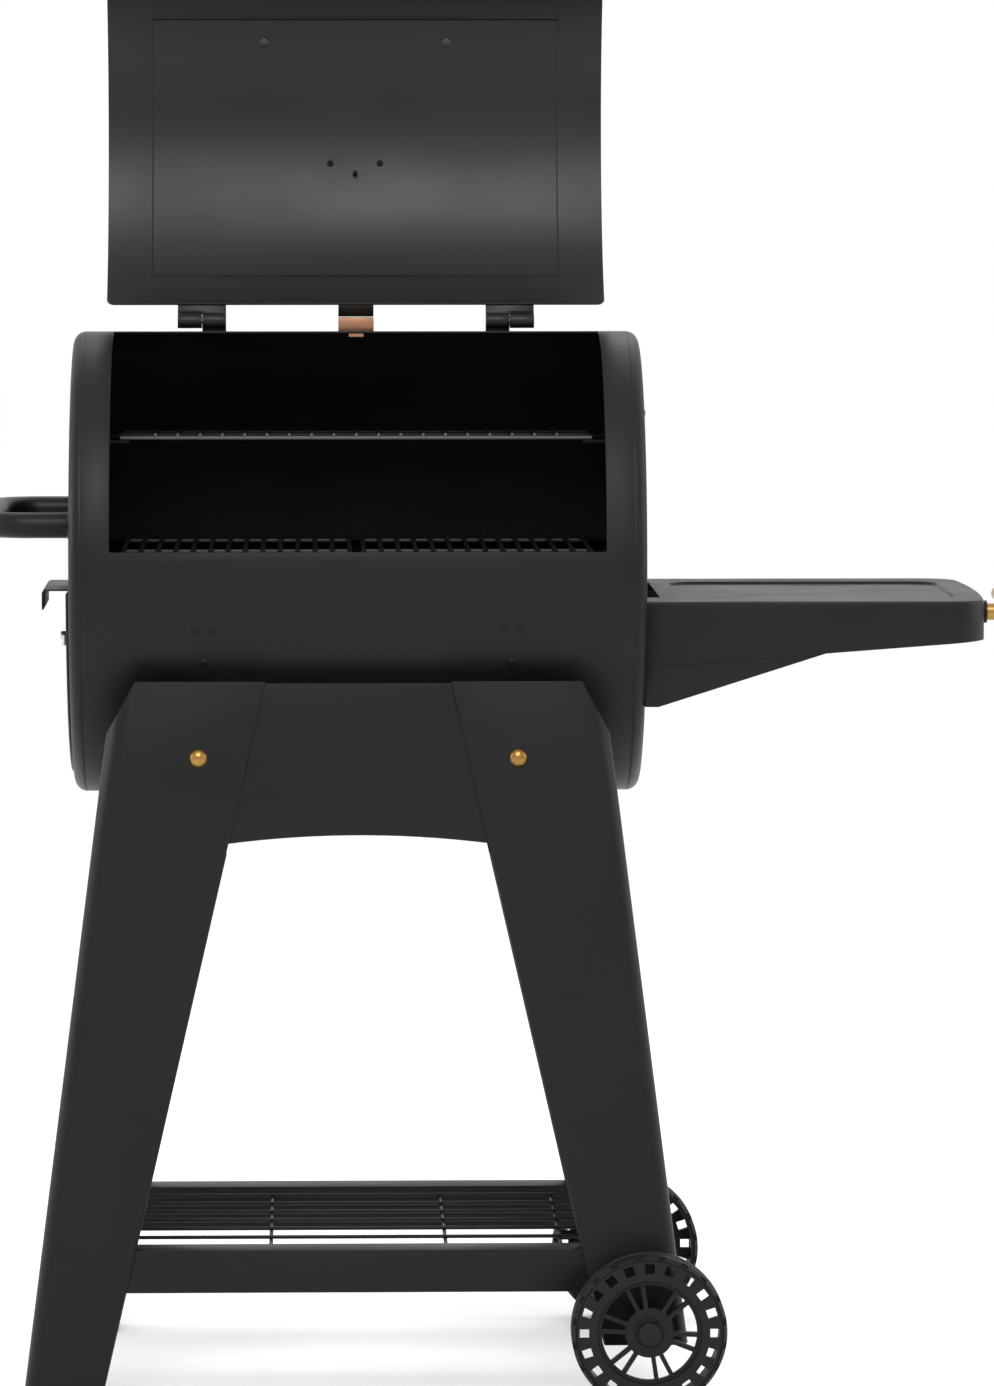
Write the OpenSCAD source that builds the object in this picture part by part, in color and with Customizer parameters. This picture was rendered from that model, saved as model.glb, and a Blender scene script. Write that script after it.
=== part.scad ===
/* [Barrel] */
// Length of the barrel over both end caps
barrel_length = 605; // [540:1:730]
// Outer radius of the barrel
barrel_r = 247; // [230:1:290]
// Height of the barrel's axis above the ground
barrel_z = 872; // [820:1:1000]
// Thickness of the sheet steel
sheet = 2; // [1.6:0.1:2.4]
// Outer radius of the rounded rim of each end cap
cap_edge_r = 13; // [12:1:20]
// Width of the cooking opening
opening_w = 519; // [440:1:560]
// Angle of the opening's front lip above the horizontal
opening_front = 5.5; // [5:0.5:9]
// Angle of the opening's rear edge
opening_rear = 91.5; // [90:0.5:92]

/* [Lid] */
// Angle through which the lid stands open
lid_open = 140; // [0:1:140]
// Overlap of the lid past each side of the opening
lid_side_lap = 9; // [6:1:12]
// Overlap of the lid past the opening's front lip and rear edge, in degrees
lid_lap = 1.75; // [1.25:0.25:2.5]
// Radial gap between the closed lid and the barrel
lid_gap = 0.5; // [0.4:0.1:1]
// Depth of the lid's embossed panel
panel_step = 0.8; // [0.5:0.1:1.2]
// Distance of the hinge pin's axis behind the barrel's axis
pin_y = 30; // [27:1:32]
// Height of the hinge pin's axis above the top of the barrel
pin_rise = 10.5; // [10:0.5:12]
// Radius of the hinge pins
pin_r = 3; // [2.5:0.1:3.5]
// Radius of the hinge knuckles
knuckle_r = 8; // [7:0.5:8.5]
// Inner end of each hinge, from the middle of the barrel
hinge_x = 140; // [120:1:160]
// Width of each hinge
hinge_w = 52; // [44:1:60]
// Half of the distance between the lid handle's bolts
lid_bolt_x = 99; // [80:1:120]
// Radius of the lid handle's bar
lid_grip_r = 11; // [9:1:13]
// Distance of the lid handle's bar from the lid
lid_grip_out = 45; // [38:1:55]
// Radius of the thermometer's case
gauge_r = 32; // [26:1:38]

/* [Side shelf] */
// Reach of the shelf from the end cap
shelf_len = 366; // [320:1:440]
// Half of the shelf's width
shelf_half = 198; // [160:1:200]
// Depth of the shelf's top below the barrel's axis
shelf_drop = 32; // [28:1:45]
// Depth of the recess in the shelf's top
recess_depth = 3; // [2:0.5:5]
// Radius of the tool bar
bar_r = 9; // [7:0.5:10]
// Distance of the tool bar's long run from the end of the shelf
bar_out = 40; // [34:1:55]

/* [Push handle] */
// Reach of the push handle from the end cap to its centre line
handle_reach = 88; // [80:1:110]
// Radius of the push handle's tube
handle_r = 13.5; // [11:0.5:15]
// Half of the push handle's width, to its centre lines
handle_half = 169; // [130:1:175]
// Height of the push handle above the barrel's axis
handle_z = 48; // [35:1:60]

/* [Legs] */
// Gap between the barrel and the legs' faces
leg_gap = 5; // [3:0.5:15]
// Height of the legs' tops below the barrel's axis
leg_top = 111; // [108:1:125]
// Half of the gap between the legs' inner edges at their tops
leg_in_top = 97; // [85:1:110]
// Inset of the legs' outer edges from the barrel's ends, at their tops
leg_inset = 46; // [38:0.5:55]
// Outward slope of the legs' inner edges
leg_in_slope = 0.2302; // [0.2:0.0001:0.245]
// Outward slope of the legs' outer edges
leg_out_slope = 0.128; // [0.1:0.001:0.14]
// Depth of the legs' outer flanges
leg_flange = 50; // [40:1:60]
// Radius of the bend at each leg's outer edge
leg_bend_r = 16; // [6:0.5:20]
// Reach of the wheeled legs below the axle
axle_cover = 21.5; // [16:0.5:30]
// Thickness of the foot pads
pad_t = 8; // [6:1:12]

/* [Bottom shelf] */
// Height and depth of the bottom beams
beam = 45; // [36:1:50]
// Height of the beams' tops above the ground
beam_top = 162; // [150:1:180]
// Radius of the bottom shelf's wires
wire_r = 2; // [1.5:0.1:3]

/* [Wheels] */
// Outer radius of the wheels
wheel_r = 81.5; // [75:0.5:90]
// Width of the wheels
wheel_w = 45; // [40:1:50]
// Gap between the legs' faces and the wheels
wheel_gap = 10.5; // [8:0.5:20]
// Distance of the axle outwards from the middle of the legs
axle_offset = 4.5; // [0:0.1:8]
// Radius of the axle
axle_r = 6; // [5:0.5:7]

/* [Fire and food] */
// Height of the cooking grates' tops above the barrel's axis
grate_top = 17; // [12:1:20]
// Radius of the cooking grates' bars
grate_rod = 2.5; // [2:0.1:3]
// Pitch of the cooking grates' bars
grate_pitch = 18.2; // [16:0.1:22]
// Gap between the two cooking grates
grate_split = 10; // [6:1:16]
// Height of the warming rack above the barrel's axis
rack_z = 132; // [125:1:140]
// Gap between the charcoal drawer's pan and the barrel
pan_gap = 39; // [36:1:50]
// Inset of the charcoal drawer's front from the barrel's outside
front_inset = 21; // [18:1:24]
// Height of the charcoal grate below the barrel's axis
coal_z = 100; // [90:1:115]

/* [Hidden] */
$fn = 64;

charcoal = "#35373a";
matte_black = "#232527";
steel = "#b9bcc0";
copper = "#c98a5e";
gold = "#d0a050";
rubber_black = "#1c1c1d";

far = 700;
fit = 0.05;
half_length = barrel_length / 2;
cap_lap = 12;
shell_half = half_length - cap_edge_r;
shell_in = barrel_r - sheet;
inner_length = 2 * (shell_half - cap_lap) - 1;
pin_z = barrel_r + pin_rise;

// Overall reach to each side; the origin lies under the middle of the whole grill
shelf_end = half_length + shelf_len;
right_end = shelf_end + bar_out + bar_r;
left_end = half_length + handle_reach + handle_r;
barrel_x = (left_end - right_end) / 2;

// Lid
lid_in = barrel_r + lid_gap;
lid_out = lid_in + sheet;
lid_w = opening_w + 2 * lid_side_lap;
lid_front = opening_front - lid_lap;
lid_rear = opening_rear + lid_lap;
panel_margin = 10.2;
panel_side = 47.5;
lid_corner = 8;
lid_bolt_angle = 20.2;
gauge_angle = 53.8;
gauge_screw_angle = 51.1;
gauge_screw_x = 27;
gauge_t = 16;
hinge_gap = 0.4;
leaf_swing_r = knuckle_r + 0.8;
strap_arc = panel_margin - 0.4;
barrel_leaf_w = hinge_w / 2 - hinge_gap;
stop_w = 38;
stop_top = 14;

// Shelf
shelf_corner = 38;
shelf_bow = 6;
shelf_bow_half = shelf_half - shelf_corner;
shelf_bow_r = (pow(shelf_bow_half, 2) + pow(shelf_bow, 2)) / (2 * shelf_bow);
apron_near = 68.9;
apron_far = 41.6;
bracket_drop = 111;
bracket_reach = 205;
bracket_y = shelf_half - 2 * sheet - 0.1;
recess_half = shelf_half - 57;
recess_near = half_length + 39.5;
recess_far = shelf_end - 32;
recess_corner = 34;
notch_depth = 18.5;
notch_half = shelf_half - 65;
bar_y = shelf_half - 50;
bar_z = -shelf_drop - 14;
bar_bend = 25;
rose_t = 3;
bar_slope = asin(bar_y / shelf_bow_r);
bar_seat = shelf_end - round(10 * shelf_bow_r * (1 - cos(bar_slope))) / 10;

// Legs and panel: edges of the legs at a height
ground = -barrel_z;
leg_face = barrel_r + leg_gap;
leg_out_top = half_length - leg_inset;
function leg_in(z) = leg_in_top + leg_in_slope * (-leg_top - z);
function leg_out(z) = leg_out_top + leg_out_slope * (-leg_top - z);
chamfer_w = 23;
chamfer_h = 58;
inner_flange_w = 25;
panel_y = leg_face - 2 * sheet;
bolt_r = 4;
bolt_z = -leg_top - 80.3;
bolt_x = leg_in(bolt_z) + 51.6;
arch_half = 138;
arch_rise = 8.9;
arch_r = (pow(arch_half, 2) + pow(arch_rise, 2)) / (2 * arch_rise);
arch_z = -barrel_r - 25.5;
saddle_x = leg_out_top - 42;
saddle_t = 3;
saddle_low = -barrel_r - 15;
saddle_arch_r = 313;
long_bottom = ground + pad_t;

// Wheels and bottom shelf
axle_z = ground + wheel_r;
axle_x = (leg_in(axle_z) + leg_out(axle_z)) / 2 + axle_offset;
wheel_y = leg_face + wheel_gap + wheel_w / 2;
wheel_half = wheel_w / 2 - 0.3;
tread_t = 4.5;
rim_in = 54;
window = 10;
cap_h = 8;
cap_y = wheel_y + wheel_w / 2 + 0.6;
axle_end = cap_y + 5.4;
beam_y = leg_face - sheet - beam;
beam_half = leg_out(ground + beam_top) - leg_bend_r - 0.8;
wire_z = ground + beam_top - 6;
wire_pitch = 60;
wire_rows = floor((beam_y - 20) / wire_pitch);
cross_mid = 93;
cross_end = beam_half - 36;
cross_pair = 65;

// Drawer
drawer_top = -20;
front_r = barrel_r - front_inset;
opening_r = front_r - 6;
front_x = half_length + 3.4;
front_clear = 0.5;
tab_z = drawer_top - 5;
pan_r = shell_in - pan_gap;
pan_top = drawer_top - 4.4;
pan_t = 1.5;
pan_flange = opening_r - 3;
pan_near = -front_x + sheet;
pan_far = half_length - 34.5;
rail_gap = 0.6;
coal_rod = 3;
coal_pitch = 30;
coal_near = pan_near + 31;
coal_far = pan_far - 23;
coal_low = -coal_z - 2 * coal_rod + 0.5;
coal_half = sqrt(pow(pan_r - pan_t, 2) - pow(coal_z + coal_rod, 2)) - 4.7;
coal_seat = coal_low - coal_rod;

// Dampers
damper_z = -83;
damper_r = 40;
damper_t = 1.5;
vent_r = 8;
vent_ring = 28;
exhaust_y = -62;
exhaust_z = 125;

// Grates: each lifts straight out past the barrel's curve
grate_lift = 35;
rack_lift = 25;
ledge_top = grate_top - 2 * grate_rod - 0.3;
grate_half = sqrt(pow(shell_in, 2) - pow(grate_top + grate_lift, 2)) - 6.4;
grate_end = opening_w / 2 - 7.5;
rack_front = 10;
rack_rear = sqrt(pow(shell_in, 2) - pow(rack_z + rack_lift, 2)) - 28;
rack_half = opening_w / 2 - 5.5;
rack_pitch = 24;
rack_rest = 10;

module at_barrel() { translate([barrel_x, 0, barrel_z]) children(); }
module along_x(len) { rotate([90, 0, 90]) linear_extrude(len, center = true) children(); }
module along_y(len) { rotate([90, 0, 0]) linear_extrude(len, center = true) children(); }
module rod_x(r, len) { rotate([0, 90, 0]) cylinder(r = r, h = len, center = true); }
module rod_y(r, len) { rotate([90, 0, 0]) cylinder(r = r, h = len, center = true); }
module revolve_x() { rotate([0, 90, 0]) rotate_extrude() children(); }
module both_x() {
    children();
    mirror([1, 0, 0]) children();
}
module both_y() {
    children();
    mirror([0, 1, 0]) children();
}

// A point of the barrel's section at an angle above the front horizontal
function on_ring(angle, r) = [-r * cos(angle), r * sin(angle)];

// Local +Z points out of the barrel at the angle, and the barrel's axis is the origin
module radial(angle, x) { rotate([90 - angle, 0, 0]) translate([x, 0, 0]) children(); }

// The part of a ring between two angles, as a section of the barrel
module ring_arc(r_out, r_in, from, to) {
    intersection() {
        difference() {
            circle(r_out);
            circle(r_in);
        }
        polygon([[0, 0], on_ring(from, far), on_ring((from + to) / 2, far), on_ring(to, far)]);
    }
}

// The lid's pieces are drawn closed and swung open about the hinge pins
module at_lid() {
    at_barrel() translate([0, pin_y, pin_z]) rotate([-lid_open, 0, 0])
        translate([0, -pin_y, -pin_z]) children();
}

// ---------------------------------------------------------------- barrel

// Places of the screws on the barrel's front and back: local +Z points out of the barrel
module at_barrel_screws() {
    for (m = [0, 1], s = [-1, 1], p = [[152.5, -13.6], [170, -13.6], [161, -22.1]])
        mirror([0, m, 0]) radial(p[1], s * p[0]) children();
}

module barrel_shell() {
    color(charcoal) at_barrel() difference() {
        rod_x(barrel_r, 2 * shell_half);
        rod_x(shell_in, 2 * shell_half + 2);
        along_x(opening_w) polygon([[0, 0], on_ring(opening_front, far), on_ring(opening_rear, far)]);
        at_barrel_screws() translate([0, 0, shell_in - 6]) cylinder(r = 2.5, h = 12);
    }
}

// Section of an end cap: flat face, rounded rim and the lap inside the shell
module cap_profile() {
    translate([0, half_length - sheet]) square([barrel_r - cap_edge_r, sheet]);
    translate([barrel_r - cap_edge_r, shell_half]) intersection() {
        difference() {
            circle(cap_edge_r);
            circle(cap_edge_r - sheet);
        }
        square(cap_edge_r);
    }
    translate([shell_in - sheet - fit, shell_half - cap_lap]) square([sheet, cap_lap + sheet]);
    translate([shell_in - sheet - fit, shell_half]) square([1.5 * sheet, sheet]);
}

module half_moon(r, top) {
    intersection() {
        circle(r);
        translate([-far, top - 2 * far]) square([2 * far, 2 * far]);
    }
}

module left_end_cap() {
    color(charcoal) at_barrel() difference() {
        mirror([1, 0, 0]) revolve_x() cap_profile();
        translate([-half_length, 0, 0]) along_x(3 * sheet) half_moon(opening_r, drawer_top - 2);
    }
}

// Six round vents about an axis along the barrel
module vents(depth) {
    for (k = [0:5]) rotate([60 * k, 0, 0]) translate([0, 0, vent_ring]) rod_x(vent_r, depth);
}

module right_end_cap() {
    color(charcoal) at_barrel() difference() {
        revolve_x() cap_profile();
        translate([half_length, exhaust_y, exhaust_z]) {
            vents(3 * sheet);
            rod_x(bolt_r + fit, 3 * sheet);
        }
    }
}

module barrel_screws() {
    color(matte_black) at_barrel() at_barrel_screws() {
        translate([0, 0, barrel_r]) cylinder(r = 4.5, h = 1.6);
        translate([0, 0, shell_in - 4]) cylinder(r = 2.4, h = sheet + 4.1);
    }
}

module grate_ledges() {
    color(matte_black) at_barrel() both_y() along_x(inner_length) intersection() {
        union() {
            translate([grate_half - 11, ledge_top - sheet]) square([40, sheet]);
            translate([shell_in - 4, ledge_top - 16]) square([20, 16]);
        }
        circle(shell_in, $fn = 360);
    }
}

module drawer_rails() {
    rail_top = pan_top - pan_t - rail_gap;
    color(matte_black) at_barrel() both_y() along_x(inner_length) intersection() {
        union() {
            translate([pan_r + 2.5, rail_top - sheet]) square([50, sheet]);
            translate([shell_in - 5, rail_top - 18]) square([20, 18]);
        }
        circle(shell_in, $fn = 360);
    }
}

module rack_brackets() {
    arm = half_length - sheet - rack_half + rack_rest;
    arm_top = rack_z - wire_r - 0.3;
    color(matte_black) at_barrel() both_x() for (y = [rack_front, rack_rear]) {
        translate([rack_half - rack_rest, y - 8, arm_top - 3]) cube([arm, 16, 3]);
        translate([half_length - 2 * sheet, y - 8, arm_top - 28]) cube([sheet, 16, 28]);
    }
}

// ---------------------------------------------------------------- hinges and stop

module hinge_barrel_leaves() {
    color(matte_black) at_barrel() both_x()
        translate([hinge_x + barrel_leaf_w / 2, 0, 0]) along_x(barrel_leaf_w) difference() {
            union() {
                translate([pin_y, pin_z]) circle(knuckle_r);
                translate([pin_y, barrel_r - 4]) square([knuckle_r, pin_rise + 4]);
                intersection() {
                    circle(barrel_r + 2.5);
                    translate([pin_y, barrel_r - 20]) square([36, 30]);
                }
            }
            circle(barrel_r);
            translate([pin_y, pin_z]) circle(pin_r + 1.2 * fit);
        }
}

module hinge_pins() {
    color(steel) at_lid() both_x() translate([hinge_x + hinge_w / 2, pin_y, pin_z])
        rod_x(pin_r, hinge_w);
}

// A point about the hinge pin's axis, just clear of the knuckles
function by_knuckle(angle) = [pin_y, pin_z] - leaf_swing_r * [cos(angle), sin(angle)];

// The strap lies on the lid, and its outer half rises to the knuckle
module hinge_lid_leaves() {
    edge = on_ring(lid_rear, lid_out);
    color(charcoal) at_lid() both_x() {
        translate([hinge_x + hinge_w / 2, 0, 0]) along_x(hinge_w) {
            ring_arc(lid_out + 2.5, lid_out, lid_rear - strap_arc, lid_rear);
            polygon([[edge[0] - 1, lid_out - 0.3], by_knuckle(32), by_knuckle(12),
                [edge[0] - 1, lid_out + 2.2]]);
        }
        translate([hinge_x + 0.75 * hinge_w, 0, 0]) along_x(hinge_w / 2) difference() {
            union() {
                translate([pin_y, pin_z]) circle(knuckle_r);
                polygon([[pin_y - 8.9, pin_z - 5.8], [pin_y, pin_z - knuckle_r],
                    [pin_y - 3, pin_z + 6.5], [pin_y - 10.4, pin_z - 2]]);
            }
            translate([pin_y, pin_z]) circle(pin_r + 0.5 * fit);
        }
    }
}

module lid_stop_bracket() {
    front = pin_y - 8;
    back = pin_y + 18;
    color(copper) at_barrel() along_x(stop_w) difference() {
        union() {
            translate([front, barrel_r - 6]) square([back - front, stop_top + 6]);
            intersection() {
                circle(barrel_r + 2.5);
                translate([back - 1, barrel_r - 30]) square([18, 40]);
            }
        }
        translate([front + 2.5, 0]) square([back - front - 5, barrel_r + stop_top - 2.5]);
        circle(barrel_r);
    }
}

module stop_backing_plate() {
    color(copper) at_barrel() along_x(16) intersection() {
        difference() {
            circle(shell_in);
            circle(shell_in - 4);
        }
        translate([9, barrel_r - 30]) square([20, 30]);
    }
}

module lid_stop_tab() {
    foot = lid_out + 0.02;
    color(matte_black) at_lid() along_x(stop_w)
        polygon([on_ring(lid_rear - 0.7, foot), on_ring(lid_rear, foot),
            [pin_y - 11.6, pin_z + 4.5], [pin_y - 14.6, pin_z + 5.1]]);
}

// ---------------------------------------------------------------- lid

// Takes off one corner of the lid in two cuts, from an origin at the corner with +Y into the lid
module corner_cut() {
    near = lid_corner * (1 - cos(45));
    past = lid_corner * 1.3;
    out = (lid_corner - past) * near / (lid_corner - near);
    translate([0, 0, barrel_r - 5]) linear_extrude(12)
        polygon([[-lid_corner, -lid_corner], [past, out], [near, near], [out, past]]);
}

module lid_shell() {
    panel_w = lid_w - 2 * panel_side;
    panel_from = lid_front + panel_margin;
    panel_to = lid_rear - panel_margin;
    color(charcoal) at_lid() difference() {
        union() {
            along_x(lid_w) ring_arc(lid_out, lid_in, lid_front, lid_rear);
            along_x(panel_w) ring_arc(lid_out + panel_step, lid_out - 0.5, panel_from, panel_to);
        }
        along_x(panel_w - 2 * sheet)
            ring_arc(lid_in + panel_step, lid_in - 1, panel_from + 0.45, panel_to - 0.45);
        both_x() {
            radial(lid_front, -lid_w / 2) corner_cut();
            radial(lid_rear, -lid_w / 2) mirror([0, 1, 0]) corner_cut();
        }
        both_x() radial(lid_bolt_angle, lid_bolt_x) cylinder(r = bolt_r + 0.1, h = far);
        radial(gauge_angle, 0) cylinder(r = 5, h = far);
        both_x() radial(gauge_screw_angle, gauge_screw_x) cylinder(r = 2.1, h = far);
    }
}

lid_face = lid_out + panel_step;

module lid_handle_posts() {
    color(copper) at_lid() both_x() radial(lid_bolt_angle, lid_bolt_x) difference() {
        translate([0, 0, lid_face]) {
            cylinder(r = 10, h = 4);
            cylinder(r = 7, h = lid_grip_out);
        }
        translate([0, 0, lid_face + lid_grip_out]) rod_x(lid_grip_r, 40);
        translate([0, 0, lid_face - 1]) cylinder(r = bolt_r, h = 21);
    }
}

module lid_handle_bar() {
    grip = 2 * lid_bolt_x + 60;
    color(matte_black) at_lid() radial(lid_bolt_angle, 0)
        translate([0, 0, lid_face + lid_grip_out]) {
            rod_x(lid_grip_r, grip);
            for (s = [-1, 1]) translate([s * grip / 2, 0, 0]) rod_x(lid_grip_r - 2, 6);
        }
}

module lid_handle_bolts() {
    color(steel) at_lid() both_x() radial(lid_bolt_angle, lid_bolt_x)
        translate([0, 0, lid_in + panel_step - 3]) {
            cylinder(r = 5.5, h = 3);
            cylinder(r = bolt_r - 0.02, h = 24);
        }
}

module thermometer_case() {
    color(steel) at_lid() radial(gauge_angle, 0) {
        translate([0, 0, lid_face]) difference() {
            cylinder(r = gauge_r, h = gauge_t);
            translate([0, 0, 6]) cylinder(r = gauge_r - 2.5, h = gauge_t);
        }
        translate([0, 0, lid_in + panel_step - 8]) cylinder(r = 2.5, h = 11);
    }
}

module thermometer_dial() {
    color("white") at_lid() radial(gauge_angle, 0) translate([0, 0, lid_face + 6]) difference() {
        cylinder(r = gauge_r - 2.6, h = 3);
        translate([0, 0, -1]) cylinder(r = 1.5, h = 6);
    }
}

module thermometer_needle() {
    color("red") at_lid() radial(gauge_angle, 0) translate([0, 0, lid_face + 9.4]) {
        cylinder(r = 3, h = 2.5);
        translate([0, 0, -2.4]) cylinder(r = 1.44, h = 4);
        rotate([0, 0, 45]) translate([-0.9, -6, 0]) cube([1.8, gauge_r - 4, 1.2]);
    }
}

module thermometer_screws() {
    color(steel) at_lid() both_x() radial(gauge_screw_angle, gauge_screw_x) {
        translate([0, 0, lid_in + panel_step - 1.8]) cylinder(r = 3.6, h = 1.8);
        translate([0, 0, lid_in]) cylinder(r = 2, h = sheet + panel_step);
    }
}

// ---------------------------------------------------------------- side shelf

module shelf_outline(inset) {
    near = half_length - (inset > 0 ? 1 : 0);
    side = shelf_end - shelf_bow;
    translate([near, -(shelf_half - inset)])
        square([side - shelf_corner - near, 2 * (shelf_half - inset)]);
    translate([near, -shelf_bow_half]) square([side - inset - near, 2 * shelf_bow_half]);
    for (s = [-1, 1]) translate([side - shelf_corner, s * shelf_bow_half])
        circle(shelf_corner - inset);
    intersection() {
        translate([shelf_end - shelf_bow_r, 0]) circle(shelf_bow_r - inset, $fn = 256);
        translate([side - 30, -shelf_bow_half]) square([60, 2 * shelf_bow_half]);
    }
}

module recess_outline(inset) {
    near = recess_near + inset;
    wide = recess_far - recess_near - 2 * inset;
    deep = 2 * (recess_half - inset);
    corner = recess_corner - inset;
    translate([near + corner, -deep / 2]) square([wide - 2 * corner, deep]);
    translate([near, -deep / 2 + corner]) square([wide, deep - 2 * corner]);
    for (x = [near + corner, near + wide - corner], s = [-1, 1])
        translate([x, s * (deep / 2 - corner)]) circle(corner);
}

module side_shelf() {
    color(charcoal) at_barrel() intersection() {
        difference() {
            union() {
                translate([0, 0, -shelf_drop - sheet]) linear_extrude(sheet) shelf_outline(0);
                translate([0, 0, -shelf_drop - recess_depth - sheet])
                    linear_extrude(recess_depth + sheet) recess_outline(-sheet);
                translate([0, 0, -shelf_drop - 80]) linear_extrude(80) difference() {
                    shelf_outline(0);
                    shelf_outline(sheet);
                }
            }
            translate([0, 0, -shelf_drop - recess_depth])
                linear_extrude(recess_depth + 1) recess_outline(0);
            translate([half_length - 1, -notch_half, -shelf_drop - 5])
                cube([notch_depth + 1, 2 * notch_half, 6]);
        }
        along_y(3 * shelf_half) polygon([[half_length - 1, -shelf_drop + 5],
            [half_length - 1, -shelf_drop - apron_near], [shelf_end + 1, -shelf_drop - apron_far],
            [shelf_end + 1, -shelf_drop + 5]]);
    }
}

module shelf_bolt_places() {
    for (s = [-1, 1], drop = [24, 90])
        translate([half_length, s * (bracket_y - 20), -shelf_drop - drop]) children();
}

module shelf_brackets() {
    low = -shelf_drop - bracket_drop;
    high = -shelf_drop - sheet - 0.2;
    color(charcoal) at_barrel() difference() {
        both_y() {
            translate([0, bracket_y + sheet / 2, 0]) along_y(sheet) polygon([[half_length, high],
                [half_length + bracket_reach, high], [half_length + bracket_reach, high - 48],
                [half_length + 14, low], [half_length, low]]);
            translate([half_length, bracket_y - 38, low]) cube([sheet, 38.5, high - low - 6]);
        }
        shelf_bolt_places() rod_x(bolt_r, 20);
    }
}

module shelf_bolts() {
    color(matte_black) at_barrel() shelf_bolt_places() {
        translate([sheet + 2, 0, 0]) rod_x(7, 4);
        translate([-sheet - 2, 0, 0]) rod_x(7, 4);
    }
}

module tool_bar() {
    start = bar_seat + rose_t;
    run = shelf_end + bar_out;
    color(gold) at_barrel() translate([0, 0, bar_z]) {
        translate([(start + run - bar_bend) / 2, -bar_y, 0]) rod_x(bar_r, run - bar_bend - start);
        translate([run - bar_bend, -bar_y + bar_bend, 0]) rotate([0, 0, -90])
            rotate_extrude(angle = 90) translate([bar_bend, 0]) circle(bar_r);
        translate([run, bar_bend / 2, 0]) rod_y(bar_r, 2 * bar_y - bar_bend);
        translate([run, bar_y, 0]) sphere(bar_r);
    }
}

// The rose's back is cut to lie against the bowed end of the shelf
module tool_bar_rose() {
    color(matte_black) at_barrel() translate([bar_seat, -bar_y, bar_z]) difference() {
        rod_x(bar_r + 3, 2 * rose_t);
        rotate([0, 0, -bar_slope]) translate([-20, -30, -30]) cube([20, 60, 60]);
    }
}

// ---------------------------------------------------------------- push handle

module push_handle() {
    bend = 45;
    run = half_length + handle_reach;
    color(matte_black) at_barrel() translate([0, 0, handle_z]) {
        both_y() {
            translate([-(half_length + run - bend) / 2, handle_half, 0])
                rod_x(handle_r, run - bend - half_length);
            translate([-run + bend, handle_half - bend, 0]) rotate([0, 0, 90])
                rotate_extrude(angle = 90) translate([bend, 0]) circle(handle_r);
        }
        translate([-run, 0, 0]) rod_y(handle_r, 2 * (handle_half - bend));
    }
}

module handle_bolts() {
    color(steel) at_barrel() both_y() translate([-half_length + sheet + 2.5, handle_half, handle_z])
        rod_x(8, 5);
}

// ---------------------------------------------------------------- legs

// Section of a leg: the face and the outer flange with a rounded bend between them
module leg_block(inset, wide, deep) {
    r = leg_bend_r - inset;
    translate([-wide, inset]) square([wide - inset - r, deep]);
    translate([-wide, inset + r]) square([wide - inset, deep - r]);
    translate([-inset - r, inset + r]) circle(r);
}

// The flange along a leg's inner edge between two heights
module inner_flange(high, low) {
    deep = inner_flange_w + sheet;
    translate([0, -leg_face + deep / 2, 0]) along_y(deep)
        polygon([[leg_in(high), high], [leg_in(high) + sheet, high], [leg_in(low) + sheet, low],
            [leg_in(low), low]]);
}

// The right front leg down to the given height; the others are its mirror images
module leg(bottom) {
    wide = leg_out_top - leg_in_top + 40;
    lean = atan(leg_out_slope);
    chamfer_x = leg_out_top - chamfer_w;
    chamfer_run = 3 * (chamfer_w + leg_out_slope * chamfer_h);
    chamfer_drop = 3 * chamfer_h;
    difference() {
        union() {
            intersection() {
                translate([leg_out_top, -leg_face, -leg_top]) rotate([0, -lean, 0])
                    translate([0, 0, -900]) linear_extrude(1000) difference() {
                        leg_block(0, wide, leg_flange);
                        leg_block(sheet, wide + 1, leg_flange + 1);
                    }
                along_y(3 * leg_face) polygon([[leg_in(-leg_top), -leg_top],
                    [chamfer_x, -leg_top], [chamfer_x + chamfer_run, -leg_top - chamfer_drop],
                    [leg_out(bottom) + 60, bottom], [leg_in(bottom), bottom]]);
            }
            inner_flange(arch_z - 20, ground + beam_top + 0.2);
            inner_flange(ground + beam_top - beam - 0.2, bottom);
        }
        translate([bolt_x, -leg_face, bolt_z]) rod_y(bolt_r, 4 * sheet);
    }
}

module wheeled_leg() {
    difference() {
        leg(axle_z - axle_cover);
        translate([axle_x, -leg_face, axle_z]) rod_y(axle_r, 4 * sheet);
    }
}

module front_left_leg() { color(charcoal) at_barrel() mirror([1, 0, 0]) leg(long_bottom); }
module rear_left_leg() {
    color(charcoal) at_barrel() mirror([0, 1, 0]) mirror([1, 0, 0]) leg(long_bottom);
}
module front_right_leg() { color(charcoal) at_barrel() wheeled_leg(); }
module rear_right_leg() { color(charcoal) at_barrel() mirror([0, 1, 0]) wheeled_leg(); }

module panel() {
    wing = bolt_x + 22;
    translate([0, -panel_y - sheet / 2, 0]) difference() {
        along_y(sheet) difference() {
            polygon([[-wing, -leg_top - 2], [wing, -leg_top - 2], [wing, arch_z + 10],
                [leg_in(arch_z - 8) + 1, arch_z - 9], [-leg_in(arch_z - 8) - 1, arch_z - 9],
                [-wing, arch_z + 10]]);
            translate([0, arch_z - arch_r]) circle(arch_r, $fn = 256);
        }
        both_x() translate([bolt_x, 0, bolt_z]) rod_y(bolt_r, 4 * sheet);
    }
}

module front_panel() { color(charcoal) at_barrel() panel(); }
module rear_panel() { color(charcoal) at_barrel() mirror([0, 1, 0]) panel(); }

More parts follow.
